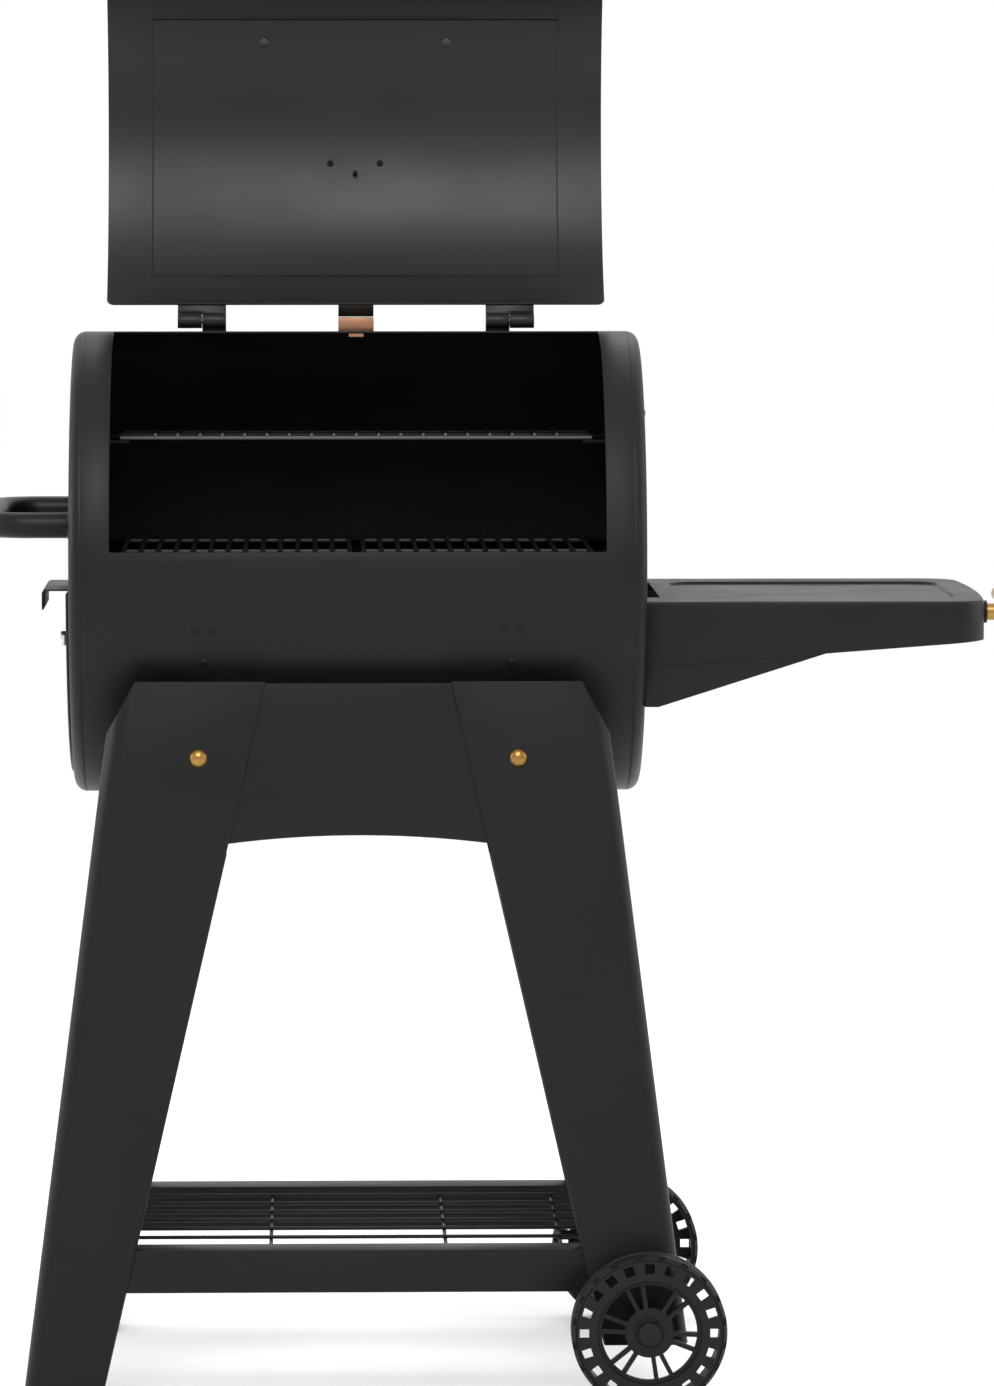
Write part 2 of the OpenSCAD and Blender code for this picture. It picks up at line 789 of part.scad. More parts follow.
module leg_bolts() {
    dome_r = 10;
    dome_h = 6.5;
    dome_sphere = (dome_r * dome_r + dome_h * dome_h) / (2 * dome_h);
    color(gold) at_barrel() both_y() both_x() translate([bolt_x, -leg_face, bolt_z])
        rotate([90, 0, 0]) {
            intersection() {
                translate([0, 0, dome_h - dome_sphere]) sphere(dome_sphere);
                cylinder(r = dome_r, h = dome_h);
            }
            translate([0, 0, -2 * sheet - 3]) cylinder(r = bolt_r, h = 2 * sheet + 3);
            translate([0, 0, -2 * sheet - 5]) cylinder(r = 7, h = 5);
        }
}

module saddle() {
    inner = leg_face - sheet;
    translate([saddle_x, 0, 0]) along_x(saddle_t) difference() {
        translate([-inner, saddle_low]) square([2 * inner, -saddle_low - leg_top - 5]);
        circle(barrel_r);
        translate([0, saddle_low + 13 - saddle_arch_r]) circle(saddle_arch_r, $fn = 128);
    }
    both_y() translate([saddle_x, -inner, saddle_low]) cube([24, sheet, 130]);
}

module left_saddle() { color(matte_black) at_barrel() mirror([1, 0, 0]) saddle(); }
module right_saddle() { color(matte_black) at_barrel() saddle(); }

module foot_pads() {
    color(rubber_black) at_barrel() both_y() translate([-leg_out(long_bottom) - 2, -leg_face - 2, ground])
        cube([leg_out(long_bottom) - leg_in(long_bottom) + 4, leg_flange + 4, pad_t]);
}

// ---------------------------------------------------------------- bottom shelf

module box_beam() {
    translate([0, -beam_y - beam / 2, ground + beam_top - beam / 2]) along_x(2 * beam_half)
        difference() {
            square(beam, center = true);
            square(beam - 2 * sheet, center = true);
        }
}

module front_beam() { color(charcoal) at_barrel() box_beam(); }
module rear_beam() { color(charcoal) at_barrel() mirror([0, 1, 0]) box_beam(); }

module bottom_wires() {
    cross_z = wire_z - 2 * wire_r + 0.4;
    color(matte_black) at_barrel() {
        for (k = [-wire_rows:wire_rows])
            translate([0, k * wire_pitch, wire_z]) rod_x(wire_r, 2 * beam_half - 40);
        for (x = [-cross_end, -cross_mid, cross_mid, cross_end - cross_pair, cross_end])
            translate([x, 0, cross_z]) rod_y(wire_r, 2 * beam_y);
    }
}

// ---------------------------------------------------------------- wheels

module axle() { color(steel) at_barrel() translate([axle_x, 0, axle_z]) rod_y(axle_r, 2 * axle_end); }

module axle_caps() {
    color(matte_black) at_barrel() both_y() translate([axle_x, -cap_y, axle_z]) rotate([90, 0, 0])
        difference() {
            cylinder(r = 13, h = cap_h);
            translate([0, 0, -1]) cylinder(r = axle_r, h = axle_end - cap_y + 1);
        }
}

module axle_spacers() {
    long = wheel_y - wheel_w / 2 - leg_face - 0.6;
    color(steel) at_barrel() both_y() translate([axle_x, -leg_face - long / 2, axle_z])
        difference() {
            rod_y(axle_r + 4, long);
            rod_y(axle_r, long + 2);
        }
}

// An opening between two spokes: a sector of a ring with straight sides
module spoke_gap(angle, spread, r_in, r_out) {
    rotate([0, angle, 0]) along_y(wheel_w + 2) polygon([
        [r_in * cos(spread * 0.6), r_in * sin(spread * 0.6)], [r_out * cos(spread), r_out * sin(spread)],
        [r_out + 1, 0], [r_out * cos(spread), -r_out * sin(spread)],
        [r_in * cos(spread * 0.6), -r_in * sin(spread * 0.6)]]);
}

// The outer side faces -Y
module wheel() {
    rim_out = wheel_r - tread_t;
    difference() {
        rotate([90, 0, 0]) rotate_extrude() {
            translate([axle_r + fit, -wheel_half]) square([10, 2 * wheel_half]);
            translate([axle_r + 8, wheel_half - 14]) square([rim_in - axle_r - 7, 10]);
            translate([rim_in, wheel_half - 16]) square([3, 16]);
            translate([rim_in, wheel_half - 8]) square([rim_out - rim_in - 3, 8]);
            translate([rim_out - 3, -wheel_half]) square([3, 2 * wheel_half]);
        }
        for (k = [0:19]) rotate([0, 18 * k, 0]) translate([rim_out - 8.8, 0, 0])
            cube([window, wheel_w + 2, window], center = true);
        for (k = [0:5]) {
            spoke_gap(60 * k + 42, 18.5, 25, rim_in - 4);
            spoke_gap(60 * k + 12, 7.2, 27, rim_in - 4);
        }
    }
}

module tyre() {
    rotate([90, 0, 0]) rotate_extrude() polygon([
        [wheel_r - tread_t, -wheel_half], [wheel_r - tread_t, wheel_half], [wheel_r - 3, wheel_half],
        [wheel_r, wheel_half - 4], [wheel_r, 4 - wheel_half], [wheel_r - 3, -wheel_half]]);
}

module at_wheel(side) { at_barrel() translate([axle_x, side * wheel_y, axle_z]) children(); }

module front_wheel() { color(matte_black) at_wheel(-1) wheel(); }
module front_tyre() { color(rubber_black) at_wheel(-1) tyre(); }
module rear_wheel() { color(matte_black) at_wheel(1) mirror([0, 1, 0]) wheel(); }
module rear_tyre() { color(rubber_black) at_wheel(1) tyre(); }

// ---------------------------------------------------------------- charcoal drawer

module drawer_front() {
    color(charcoal) at_barrel() difference() {
        union() {
            translate([-front_x + sheet / 2, 0, 0]) along_x(sheet) half_moon(front_r, drawer_top);
            translate([(-half_length - front_clear - front_x + sheet / 2) / 2, 0, 0])
                along_x(front_x - sheet / 2 - half_length - front_clear) difference() {
                    half_moon(front_r, drawer_top);
                    half_moon(front_r - sheet, drawer_top - sheet);
                }
        }
        translate([-front_x, 0, damper_z]) {
            vents(3 * sheet);
            rod_x(bolt_r + fit, 3 * sheet);
        }
    }
}

module drawer_tab() {
    bend = 5;
    out = 30;
    drop = 22;
    color(charcoal) at_barrel() translate([-front_x, 0, tab_z]) along_y(164) {
        translate([-out + bend, -sheet]) square([out - bend, sheet]);
        translate([-out + bend, -bend]) intersection() {
            difference() {
                circle(bend);
                circle(bend - sheet);
            }
            translate([-bend, 0]) square(bend);
        }
        translate([-out, -drop]) square([sheet, drop - bend]);
    }
}

module charcoal_pan() {
    long = pan_far - pan_near;
    color(matte_black) at_barrel() {
        translate([pan_near + long / 2, 0, 0]) along_x(long) {
            difference() {
                half_moon(pan_r, pan_top);
                circle(pan_r - pan_t);
            }
            for (s = [-1, 1]) translate([s * (pan_flange + pan_r - 4) / 2, pan_top - pan_t / 2])
                square([pan_flange - pan_r + 4, pan_t], center = true);
        }
        translate([pan_far - pan_t / 2, 0, 0]) along_x(pan_t) half_moon(pan_r, pan_top);
        for (x = [coal_near, coal_far]) translate([x - sign(x) * 75, 0, 0]) along_x(sheet)
            difference() {
                half_moon(pan_r - pan_t / 2, coal_seat);
                circle(pan_r - 45);
            }
    }
}

module charcoal_grate() {
    color(matte_black) at_barrel() {
        for (x = [coal_near + 5 : coal_pitch : coal_far - 5])
            translate([x, 0, -coal_z]) rod_y(coal_rod, 2 * coal_half);
        for (s = [-1:1]) translate([(coal_near + coal_far) / 2, s * (coal_half - 32), coal_low])
            rod_x(coal_rod, coal_far - coal_near);
    }
}

module damper_disc() {
    color(matte_black) at_barrel() translate([pan_near + 1.1, 0, damper_z]) difference() {
        rod_x(damper_r, damper_t);
        vents(3 * sheet);
        rod_x(bolt_r - 0.02, 3 * sheet);
    }
}

module damper_knob() {
    color(steel) at_barrel() translate([-front_x, 0, damper_z]) {
        translate([-7, 0, 0]) rod_x(8, 12);
        translate([1, 0, 0]) rod_x(bolt_r - 0.02, 6);
    }
}

// ---------------------------------------------------------------- exhaust damper

module exhaust_damper() {
    color(matte_black) at_barrel() translate([half_length + 1.15, exhaust_y, exhaust_z]) {
        difference() {
            rod_x(damper_r, damper_t);
            vents(3 * sheet);
            rod_x(bolt_r - 0.02, 3 * sheet);
        }
        translate([-damper_t / 2, -5, damper_r - 6]) cube([5, 10, 5]);
    }
}

module exhaust_rivet() {
    color(steel) at_barrel() translate([half_length, exhaust_y, exhaust_z]) {
        translate([(2.4 - sheet) / 2, 0, 0]) rod_x(bolt_r - 0.02, sheet + 2.4);
        translate([3.4, 0, 0]) rod_x(8, 3);
    }
}

// ---------------------------------------------------------------- grates

// A cooking grate from one end to the other: bars front to back on three cross bars
module grate(from, to) {
    bar_z = grate_top - grate_rod;
    count = floor((to - from - 2 * grate_rod) / grate_pitch);
    pitch = (to - from - 2 * grate_rod) / count;
    for (k = [0:count]) {
        x = from + grate_rod + k * pitch;
        translate([x, 0, bar_z]) rod_y(grate_rod, 2 * grate_half);
    }
    for (s = [-1:1])
        translate([(from + to) / 2, s * (grate_half - 28), bar_z - 1.6 * grate_rod])
            rod_x(grate_rod, to - from);
}

module left_grate() { color(matte_black) at_barrel() grate(-grate_end, -grate_split / 2); }
module right_grate() { color(matte_black) at_barrel() grate(grate_split / 2, grate_end); }

module warming_rack() {
    depth = rack_rear - rack_front;
    rack_bars = floor((rack_half - 16) / rack_pitch);
    color(steel) at_barrel() {
        for (y = [rack_front, (rack_front + rack_rear) / 2, rack_rear])
            translate([0, y, rack_z]) rod_x(wire_r, 2 * rack_half);
        for (k = [-rack_bars:rack_bars])
            translate([k * rack_pitch, rack_front + depth / 2, rack_z + 2 * wire_r - 0.6])
                rod_y(wire_r - 0.3, depth + 4);
    }
}

barrel_shell();
left_end_cap();
right_end_cap();
hinge_barrel_leaves();
hinge_pins();
hinge_lid_leaves();
lid_shell();
lid_stop_tab();
lid_stop_bracket();
stop_backing_plate();
lid_handle_bar();
lid_handle_posts();
lid_handle_bolts();
thermometer_case();
thermometer_dial();
thermometer_needle();
thermometer_screws();
front_left_leg();
front_right_leg();
rear_left_leg();
rear_right_leg();
front_panel();
rear_panel();
leg_bolts();
left_saddle();
right_saddle();
barrel_screws();
front_beam();
rear_beam();
bottom_wires();
foot_pads();
axle();
axle_caps();
axle_spacers();
front_wheel();
front_tyre();
rear_wheel();
rear_tyre();
side_shelf();
shelf_brackets();
shelf_bolts();
tool_bar();
tool_bar_rose();
push_handle();
handle_bolts();
drawer_front();
drawer_tab();
charcoal_pan();
charcoal_grate();
drawer_rails();
damper_disc();
damper_knob();
exhaust_damper();
exhaust_rivet();
grate_ledges();
left_grate();
right_grate();
warming_rack();
rack_brackets();
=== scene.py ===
"""A barrel charcoal grill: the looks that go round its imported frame.

Sizes are in metres. Pieces of the barrel are modelled about the barrel's own axis, with
X along the barrel, Y towards the back and Z up, and are then moved to their place.
"""

from __future__ import annotations

import logging
import math
from collections.abc import Callable, Sequence
from dataclasses import dataclass, field
from enum import Enum

import bpy
from mathutils import Matrix, Vector

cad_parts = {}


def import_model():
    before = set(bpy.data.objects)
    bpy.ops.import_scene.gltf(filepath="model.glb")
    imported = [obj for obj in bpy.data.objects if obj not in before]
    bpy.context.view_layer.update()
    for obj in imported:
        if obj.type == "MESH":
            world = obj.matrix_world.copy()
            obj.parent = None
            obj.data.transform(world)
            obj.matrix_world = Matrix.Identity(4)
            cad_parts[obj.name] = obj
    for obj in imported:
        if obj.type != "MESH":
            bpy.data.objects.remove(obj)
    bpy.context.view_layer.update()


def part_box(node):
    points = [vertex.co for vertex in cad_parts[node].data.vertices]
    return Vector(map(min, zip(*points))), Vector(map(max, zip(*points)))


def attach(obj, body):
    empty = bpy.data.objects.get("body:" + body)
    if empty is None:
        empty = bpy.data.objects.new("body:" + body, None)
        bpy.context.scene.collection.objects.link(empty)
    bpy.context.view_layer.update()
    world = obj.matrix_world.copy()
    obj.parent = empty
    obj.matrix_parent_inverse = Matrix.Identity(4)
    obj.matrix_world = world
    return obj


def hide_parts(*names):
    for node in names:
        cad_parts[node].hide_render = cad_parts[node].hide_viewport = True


Object = bpy.types.Object
Point = tuple[float, float, float]
Colour = tuple[float, float, float]

log = logging.getLogger("grill")

FULL_TURN = 2 * math.pi
QUARTER_TURN = math.pi / 2
WELD = 2e-5
PAST = 0.01
VENTS = 6
WHEEL_SPOKE_PAIRS = 6
FLOOR_REACH = 30.0
FLOOR_CURVE = 3.0


# --------------------------------------------------------------------------- workbench


class Part(Enum):
    """What a selection picks in edit mode."""

    VERTS = "VERT"
    EDGES = "EDGE"
    FACES = "FACE"


def take(obj: Object) -> Object:
    """Make an object the only selected and active one, in object mode.

    Args:
        obj: The object to take up.

    Returns:
        The same object.
    """
    if bpy.context.object and bpy.context.object.mode != "OBJECT":
        bpy.ops.object.mode_set(mode="OBJECT")
    for other in list(bpy.context.selected_objects):
        other.select_set(False)
    obj.select_set(True)
    bpy.context.view_layer.objects.active = obj
    return obj


def drop_all() -> None:
    """Deselect every object, so that a new primitive stands alone."""
    if bpy.context.object and bpy.context.object.mode != "OBJECT":
        bpy.ops.object.mode_set(mode="OBJECT")
    for other in list(bpy.context.selected_objects):
        other.select_set(False)


def pick(obj: Object, part: Part, test: Callable[[Vector, Vector], bool]) -> None:
    """Select the parts of a mesh that pass a test, and stay in edit mode.

    Args:
        obj: The mesh object.
        part: Vertices, edges or faces.
        test: Takes a part's middle and its normal, and says whether to pick it.
    """
    take(obj)
    bpy.ops.object.mode_set(mode="EDIT")
    bpy.ops.mesh.select_mode(type=part.value)
    bpy.ops.mesh.select_all(action="DESELECT")
    bpy.ops.object.mode_set(mode="OBJECT")
    mesh = obj.data
    flat = Vector((0.0, 0.0, 0.0))
    if part is Part.FACES:
        found = [f for f in mesh.polygons if test(f.center, f.normal)]
    elif part is Part.EDGES:
        ends = [(e, mesh.vertices[e.vertices[0]].co,
                 mesh.vertices[e.vertices[1]].co) for e in mesh.edges]
        found = [e for e, a, b in ends if test((a + b) / 2, (b - a).normalized())]
    else:
        found = [v for v in mesh.vertices if test(v.co, flat)]
    for item in found:
        item.select = True
    bpy.ops.object.mode_set(mode="EDIT")


def pick_all(obj: Object) -> None:
    """Select a whole mesh and stay in edit mode."""
    take(obj)
    bpy.ops.object.mode_set(mode="EDIT")
    bpy.ops.mesh.select_mode(type="VERT")
    bpy.ops.mesh.select_all(action="SELECT")


def discard(*spares: Object) -> None:
    """Throw shapes away that were only made to be copied."""
    for spare in spares:
        bpy.data.objects.remove(spare, do_unlink=True)


def settle(obj: Object) -> Object:
    """Put an object's place, turn and size into its mesh."""
    take(obj)
    bpy.ops.object.transform_apply(location=True, rotation=True, scale=True)
    return obj


def box(centre: Point, size: Point) -> Object:
    """A block to be shaped further.

    Args:
        centre: The block's middle.
        size: Its whole width, depth and height.

    Returns:
        The new object, settled.
    """
    drop_all()
    bpy.ops.mesh.primitive_cube_add(size=1, location=centre)
    made = bpy.context.object
    made.scale = size
    return settle(made)


def rod(start: Point, end: Point, radius: float, sides: int = 32) -> Object:
    """A round bar between two points, to be shaped further.

    Args:
        start: The middle of one end.
        end: The middle of the other.
        radius: The bar's radius.
        sides: How many faces go round it.

    Returns:
        The new object, settled.
    """
    a, b = Vector(start), Vector(end)
    drop_all()
    bpy.ops.mesh.primitive_cylinder_add(
        vertices=sides, radius=radius, depth=(b - a).length, location=(a + b) / 2
    )
    made = bpy.context.object
    made.rotation_mode = "QUATERNION"
    made.rotation_quaternion = (b - a).to_track_quat("Z", "Y")
    return settle(made)


def line(points: Sequence[Point], closed: bool = False) -> Object:
    """A run of edges through points, drawn by extruding one vertex.

    Args:
        points: Where the line goes.
        closed: Whether the last point joins the first.

    Returns:
        The new object, in edit mode with all of it selected.
    """
    drop_all()
    bpy.ops.mesh.primitive_plane_add(size=0.001, location=(0, 0, 0))
    made = bpy.context.object
    bpy.ops.object.mode_set(mode="EDIT")
    bpy.ops.mesh.select_mode(type="VERT")
    bpy.ops.mesh.select_all(action="SELECT")
    bpy.ops.mesh.merge(type="CENTER")
    bpy.ops.transform.translate(value=points[0])
    for a, b in zip(points, points[1:]):
        step = Vector(b) - Vector(a)
        bpy.ops.mesh.extrude_vertices_move(TRANSFORM_OT_translate={"value": step})
    if closed:
        bpy.ops.mesh.select_all(action="DESELECT")
        bpy.ops.object.mode_set(mode="OBJECT")
        made.data.vertices[0].select = True
        made.data.vertices[len(points) - 1].select = True
        bpy.ops.object.mode_set(mode="EDIT")
        bpy.ops.mesh.edge_face_add()
    bpy.ops.mesh.select_all(action="SELECT")
    return made


def plate(points: Sequence[Point], depth: Point) -> Object:
    """A flat outline filled and drawn out into a slab.

    Args:
        points: The outline, in order.
        depth: How far and which way the slab is drawn out.

    Returns:
        The new object, with outward faces.
    """
    made = line(points, closed=True)
    bpy.ops.mesh.edge_face_add()
    bpy.ops.mesh.extrude_region_move(TRANSFORM_OT_translate={"value": depth})
    bpy.ops.mesh.select_all(action="SELECT")
    bpy.ops.mesh.normals_make_consistent(inside=False)
    return take(made)


def sweep(points: Sequence[Point], depth: Point) -> Object:
    """An open line drawn out into a sheet with no thickness.

    Args:
        points: The line, in order.
        depth: How far and which way it is drawn out.

    Returns:
        The new object, in edit mode with all of it selected.
    """
    made = line(points)
    bpy.ops.mesh.extrude_region_move(TRANSFORM_OT_translate={"value": depth})
    bpy.ops.mesh.select_all(action="SELECT")
    return made


def turn(points: Sequence[Point], axis: Point, centre: Point, angle: float, steps: int) -> Object:
    """A line spun about an axis into a sheet with no thickness.

    Args:
        points: The line, in order.
        axis: The direction of the axis.
        centre: A point on the axis.
        angle: How far it turns, in radians; a full turn is closed up.
        steps: How many faces go round.

    Returns:
        The new object, with outward faces.
    """
    made = line(points)
    bpy.ops.mesh.spin(steps=steps, angle=angle, center=centre, axis=axis)
    bpy.ops.mesh.select_all(action="SELECT")
    bpy.ops.mesh.remove_doubles(threshold=1e-5)
    bpy.ops.mesh.normals_make_consistent(inside=False)
    return take(made)


def cut(obj: Object, point: Point, normal: Point) -> None:
    """Cut a mesh with a plane and throw away what is on the normal's side.

    Args:
        obj: The mesh object.
        point: A point on the plane.
        normal: The plane's normal.
    """
    pick_all(obj)
    bpy.ops.mesh.bisect(plane_co=point, plane_no=normal, clear_outer=True)
    take(obj)


def scribe(obj: Object, point: Point, normal: Point) -> None:
    """Cut new edges into a mesh along a plane and keep both sides."""
    pick_all(obj)
    bpy.ops.mesh.bisect(plane_co=point, plane_no=normal)
    take(obj)


def modify(obj: Object, kind: str, **settings: object) -> Object:
    """Add one modifier, set it and apply it.

    Args:
        obj: The mesh object.
        kind: The modifier's type.
        **settings: Its properties.

    Returns:
        The same object.
    """
    take(obj)
    made = obj.modifiers.new(kind.title(), kind)
    for name, value in settings.items():
        setattr(made, name, value)
    bpy.ops.object.modifier_apply(modifier=made.name)
    return obj


def thicken(obj: Object, thickness: float, offset: float = 0.0) -> Object:
    """Give a sheet its wall.

    Args:
        obj: The sheet.
        thickness: The wall.
        offset: -1 puts the wall behind the faces, 1 in front, 0 half on each side.

    Returns:
        The same object.
    """
    return modify(obj, "SOLIDIFY", thickness=thickness, offset=offset, use_even_offset=True)


def ease(obj: Object, width: float, segments: int = 2, angle: float = 35.0) -> Object:
    """Round the sharp edges of a piece.

    Args:
        obj: The piece.
        width: How wide each rounding is.
        segments: How many faces make it.
        angle: Only edges sharper than this, in degrees, are rounded.

    Returns:
        The same object.
    """
    return modify(
        obj, "BEVEL", width=width, segments=segments, limit_method="ANGLE",
        angle_limit=math.radians(angle), harden_normals=False,
    )


def carve(obj: Object, cutter: Object) -> Object:
    """Take the cutter's shape out of a piece and throw the cutter away."""
    modify(obj, "BOOLEAN", operation="DIFFERENCE", solver="EXACT", object=cutter)
    discard(cutter)
    return obj


def join(pieces: Sequence[Object]) -> Object:
    """Join several objects into the first."""
    take(pieces[0])
    for piece in pieces[1:]:
        piece.select_set(True)
    if len(pieces) > 1:
        bpy.ops.object.join()
    return bpy.context.object


def copied(obj: Object, move: Matrix) -> Object:
    """A copy of a piece with its own mesh, moved, turned or mirrored.

    Args:
        obj: The piece to copy.
        move: Where the copy goes.

    Returns:
        The copy, settled and right side out.
    """
    take(obj)
    bpy.ops.object.duplicate()
    made = bpy.context.object
    made.matrix_world = move @ made.matrix_world
    settle(made)
    if move.determinant() < 0:
        pick_all(made)
        bpy.ops.mesh.flip_normals()
        take(made)
    return made


def mirrored(obj: Object, axis: str) -> Object:
    """A copy of a piece mirrored across X or Y."""
    scale = Vector((-1 if "X" in axis else 1, -1 if "Y" in axis else 1, 1))
    return copied(obj, Matrix.Diagonal((*scale, 1)))


def smooth(obj: Object, angle: float = 32.0) -> Object:
    """Shade a piece smoothly, but keep edges sharper than the angle."""
    take(obj)
    bpy.ops.object.shade_smooth_by_angle(angle=math.radians(angle))
    return obj


def eased_copy(node: str, width: float) -> Object:
    """A copy of a CAD node with its sharp edges rounded.

    Args:
        node: The CAD node's name.
        width: How wide each rounding is.

    Returns:
        The new object, still free of any body.
    """
    source = bpy.data.objects[node]
    drop_all()
    made = source.copy()
    made.data = source.data.copy()
    made.parent = None
    for key in list(made.keys()):
        del made[key]
    bpy.context.scene.collection.objects.link(made)
    made.data.materials.clear()
    pick_all(made)
    bpy.ops.mesh.customdata_custom_splitnormals_clear()
    bpy.ops.mesh.remove_doubles(threshold=2e-6)
    bpy.ops.mesh.dissolve_limited(angle_limit=math.radians(0.6))
    take(made)
    if width > 0:
        modify(
            made, "BEVEL", width=width, segments=2, limit_method="ANGLE",
            angle_limit=math.radians(40), use_clamp_overlap=True,
        )
    return made


# --------------------------------------------------------------------------- finishes


class Nodes:
    """A new material's node tree, with short calls to add to it."""

    def __init__(self, name: str) -> None:
        """Start a material with only a shader and its output."""
        self.material = bpy.data.materials.new(name)
        self.material.use_nodes = True
        self.tree = self.material.node_tree
        self.shader = self.tree.nodes["Principled BSDF"]
        self.where = self.add("ShaderNodeTexCoord").outputs["Object"]

    def add(self, kind: str, **settings: object) -> bpy.types.Node:
        """Add a node and set its properties and inputs.

        Args:
            kind: The node's type.
            **settings: Properties, or inputs named with underscores for spaces.

        Returns:
            The new node.
        """
        node = self.tree.nodes.new(kind)
        for name, value in settings.items():
            if hasattr(node, name):
                setattr(node, name, value)
            else:
                node.inputs[name.replace("_", " ")].default_value = value
        return node

    def link(self, source: bpy.types.NodeSocket, target: bpy.types.NodeSocket) -> None:
        """Join an output to an input."""
        self.tree.links.new(source, target)

    def noise(self, scale: float, detail: float = 2.0,
              stretch: Point = (1, 1, 1)) -> bpy.types.NodeSocket:
        """A noise pattern's value, over the piece.

        Args:
            scale: How fine it is.
            detail: How many finer layers it has.
            stretch: How it is squeezed along each axis.

        Returns:
            The noise's value, 0 to 1.
        """
        spread = self.add("ShaderNodeMapping")
        spread.inputs["Scale"].default_value = stretch
        self.link(self.where, spread.inputs["Vector"])
        pattern = self.add("ShaderNodeTexNoise", Scale=scale, Detail=detail)
        self.link(spread.outputs["Vector"], pattern.inputs["Vector"])
        return pattern.outputs["Fac"]

    def ramp(self, value: bpy.types.NodeSocket,
             stops: Sequence[tuple[float, Colour]]) -> bpy.types.NodeSocket:
        """Turn a value into colours.

        Args:
            value: What is looked up.
            stops: Places from 0 to 1, each with its colour.

        Returns:
            The colour.
        """
        node = self.add("ShaderNodeValToRGB")
        band = node.color_ramp
        band.elements[0].position, band.elements[-1].position = stops[0][0], stops[-1][0]
        for place, _ in stops[1:-1]:
            band.elements.new(place)
        for element, (_, colour) in zip(band.elements, stops):
            element.color = (*colour, 1)
        self.link(value, node.inputs["Fac"])
        return node.outputs["Color"]

    def span(self, value: bpy.types.NodeSocket, low: float, high: float) -> bpy.types.NodeSocket:
        """Spread a value of 0.3 to 0.7 over a new range."""
        node = self.add("ShaderNodeMapRange")
        node.inputs["From Min"].default_value = 0.3
        node.inputs["From Max"].default_value = 0.7
        node.inputs["To Min"].default_value = low
        node.inputs["To Max"].default_value = high
        self.link(value, node.inputs["Value"])
        return node.outputs["Result"]

    def colour(self, socket: bpy.types.NodeSocket) -> None:
        """Give the shader its colour."""
        self.link(socket, self.shader.inputs["Base Color"])

    def rough(self, value: bpy.types.NodeSocket, low: float, high: float) -> None:
        """Let the roughness follow a value between two ends."""
        self.link(self.span(value, low, high), self.shader.inputs["Roughness"])

    def bump(self, height: bpy.types.NodeSocket, strength: float, distance: float) -> None:
        """Raise the surface by a pattern, on top of any bump before it."""
        node = self.add("ShaderNodeBump", Strength=strength, Distance=distance)
        self.link(height, node.inputs["Height"])
        normal = self.shader.inputs["Normal"]
        if normal.is_linked:
            self.link(normal.links[0].from_socket, node.inputs["Normal"])
        self.link(node.outputs["Normal"], normal)


def shade(colour: Colour, by: float) -> Colour:
    """A colour made lighter or darker."""
    return tuple(min(1.0, c * by) for c in colour)


@dataclass(frozen=True)
class Finish:
    """What every finish has: a name and a way to make its material."""

    name: str

    def material(self) -> bpy.types.Material:
        """The finish's material, made on its first use."""
        found = bpy.data.materials.get(self.name)
        return found or self.make()

    def make(self) -> bpy.types.Material:
        """Build the material."""
        raise NotImplementedError


@dataclass(frozen=True)
class BakedPaint(Finish):
    """Heat-proof paint with a fine grain, faint blotches and dusty scuffs."""

    colour: Colour
    roughness: float = 0.46
    grain: float = 0.35
    blotch: float = 0.14
    gloss: float = 0.19

    def make(self) -> bpy.types.Material:
        """Build the material."""
        nodes = Nodes(self.name)
        nodes.shader.inputs["Specular IOR Level"].default_value = self.gloss
        cloud = nodes.noise(7.0, 3.0)
        colour = nodes.ramp(cloud, [
            (0.30, shade(self.colour, 1 - self.blotch)), (0.52, self.colour),
            (0.75, shade(self.colour, 1 + self.blotch)),
        ])
        scuff = nodes.noise(38.0, 6.0, (0.35, 1.0, 1.0))
        mask = nodes.ramp(scuff, [(0.66, (0, 0, 0)), (0.80, (1, 1, 1))])
        mix = nodes.add("ShaderNodeMix", data_type="RGBA", blend_type="MIX")
        strength = nodes.add("ShaderNodeMath", operation="MULTIPLY")
        nodes.link(mask, strength.inputs[0])
        strength.inputs[1].default_value = 0.35
        nodes.link(strength.outputs[0], mix.inputs["Factor"])
        nodes.link(colour, mix.inputs["A"])
        mix.inputs["B"].default_value = (*shade(self.colour, 1.9), 1)
        nodes.colour(mix.outputs["Result"])
        nodes.rough(cloud, self.roughness - 0.05, self.roughness + 0.07)
        nodes.bump(nodes.noise(900.0, 2.0), self.grain, 0.00016)
        nodes.bump(nodes.noise(60.0, 2.0), 0.06, 0.0008)
        return nodes.material


@dataclass(frozen=True)
class BrushedMetal(Finish):
    """Bare or plated metal with fine lines along one axis."""

    colour: Colour
    roughness: float = 0.3
    lines: Point = (1.0, 40.0, 40.0)
    tarnish: float = 0.12

    def make(self) -> bpy.types.Material:
        """Build the material."""
        nodes = Nodes(self.name)
        nodes.shader.inputs["Metallic"].default_value = 1.0
        cloud = nodes.noise(24.0, 4.0)
        colour = nodes.ramp(cloud, [
            (0.30, shade(self.colour, 1 - 2 * self.tarnish)), (0.50, self.colour),
            (0.72, shade(self.colour, 1 + self.tarnish)),
        ])
        nodes.colour(colour)
        fine = nodes.noise(60.0, 3.0, self.lines)
        nodes.rough(fine, self.roughness - 0.07, self.roughness + 0.1)
        nodes.bump(fine, 0.12, 0.0002)
        return nodes.material


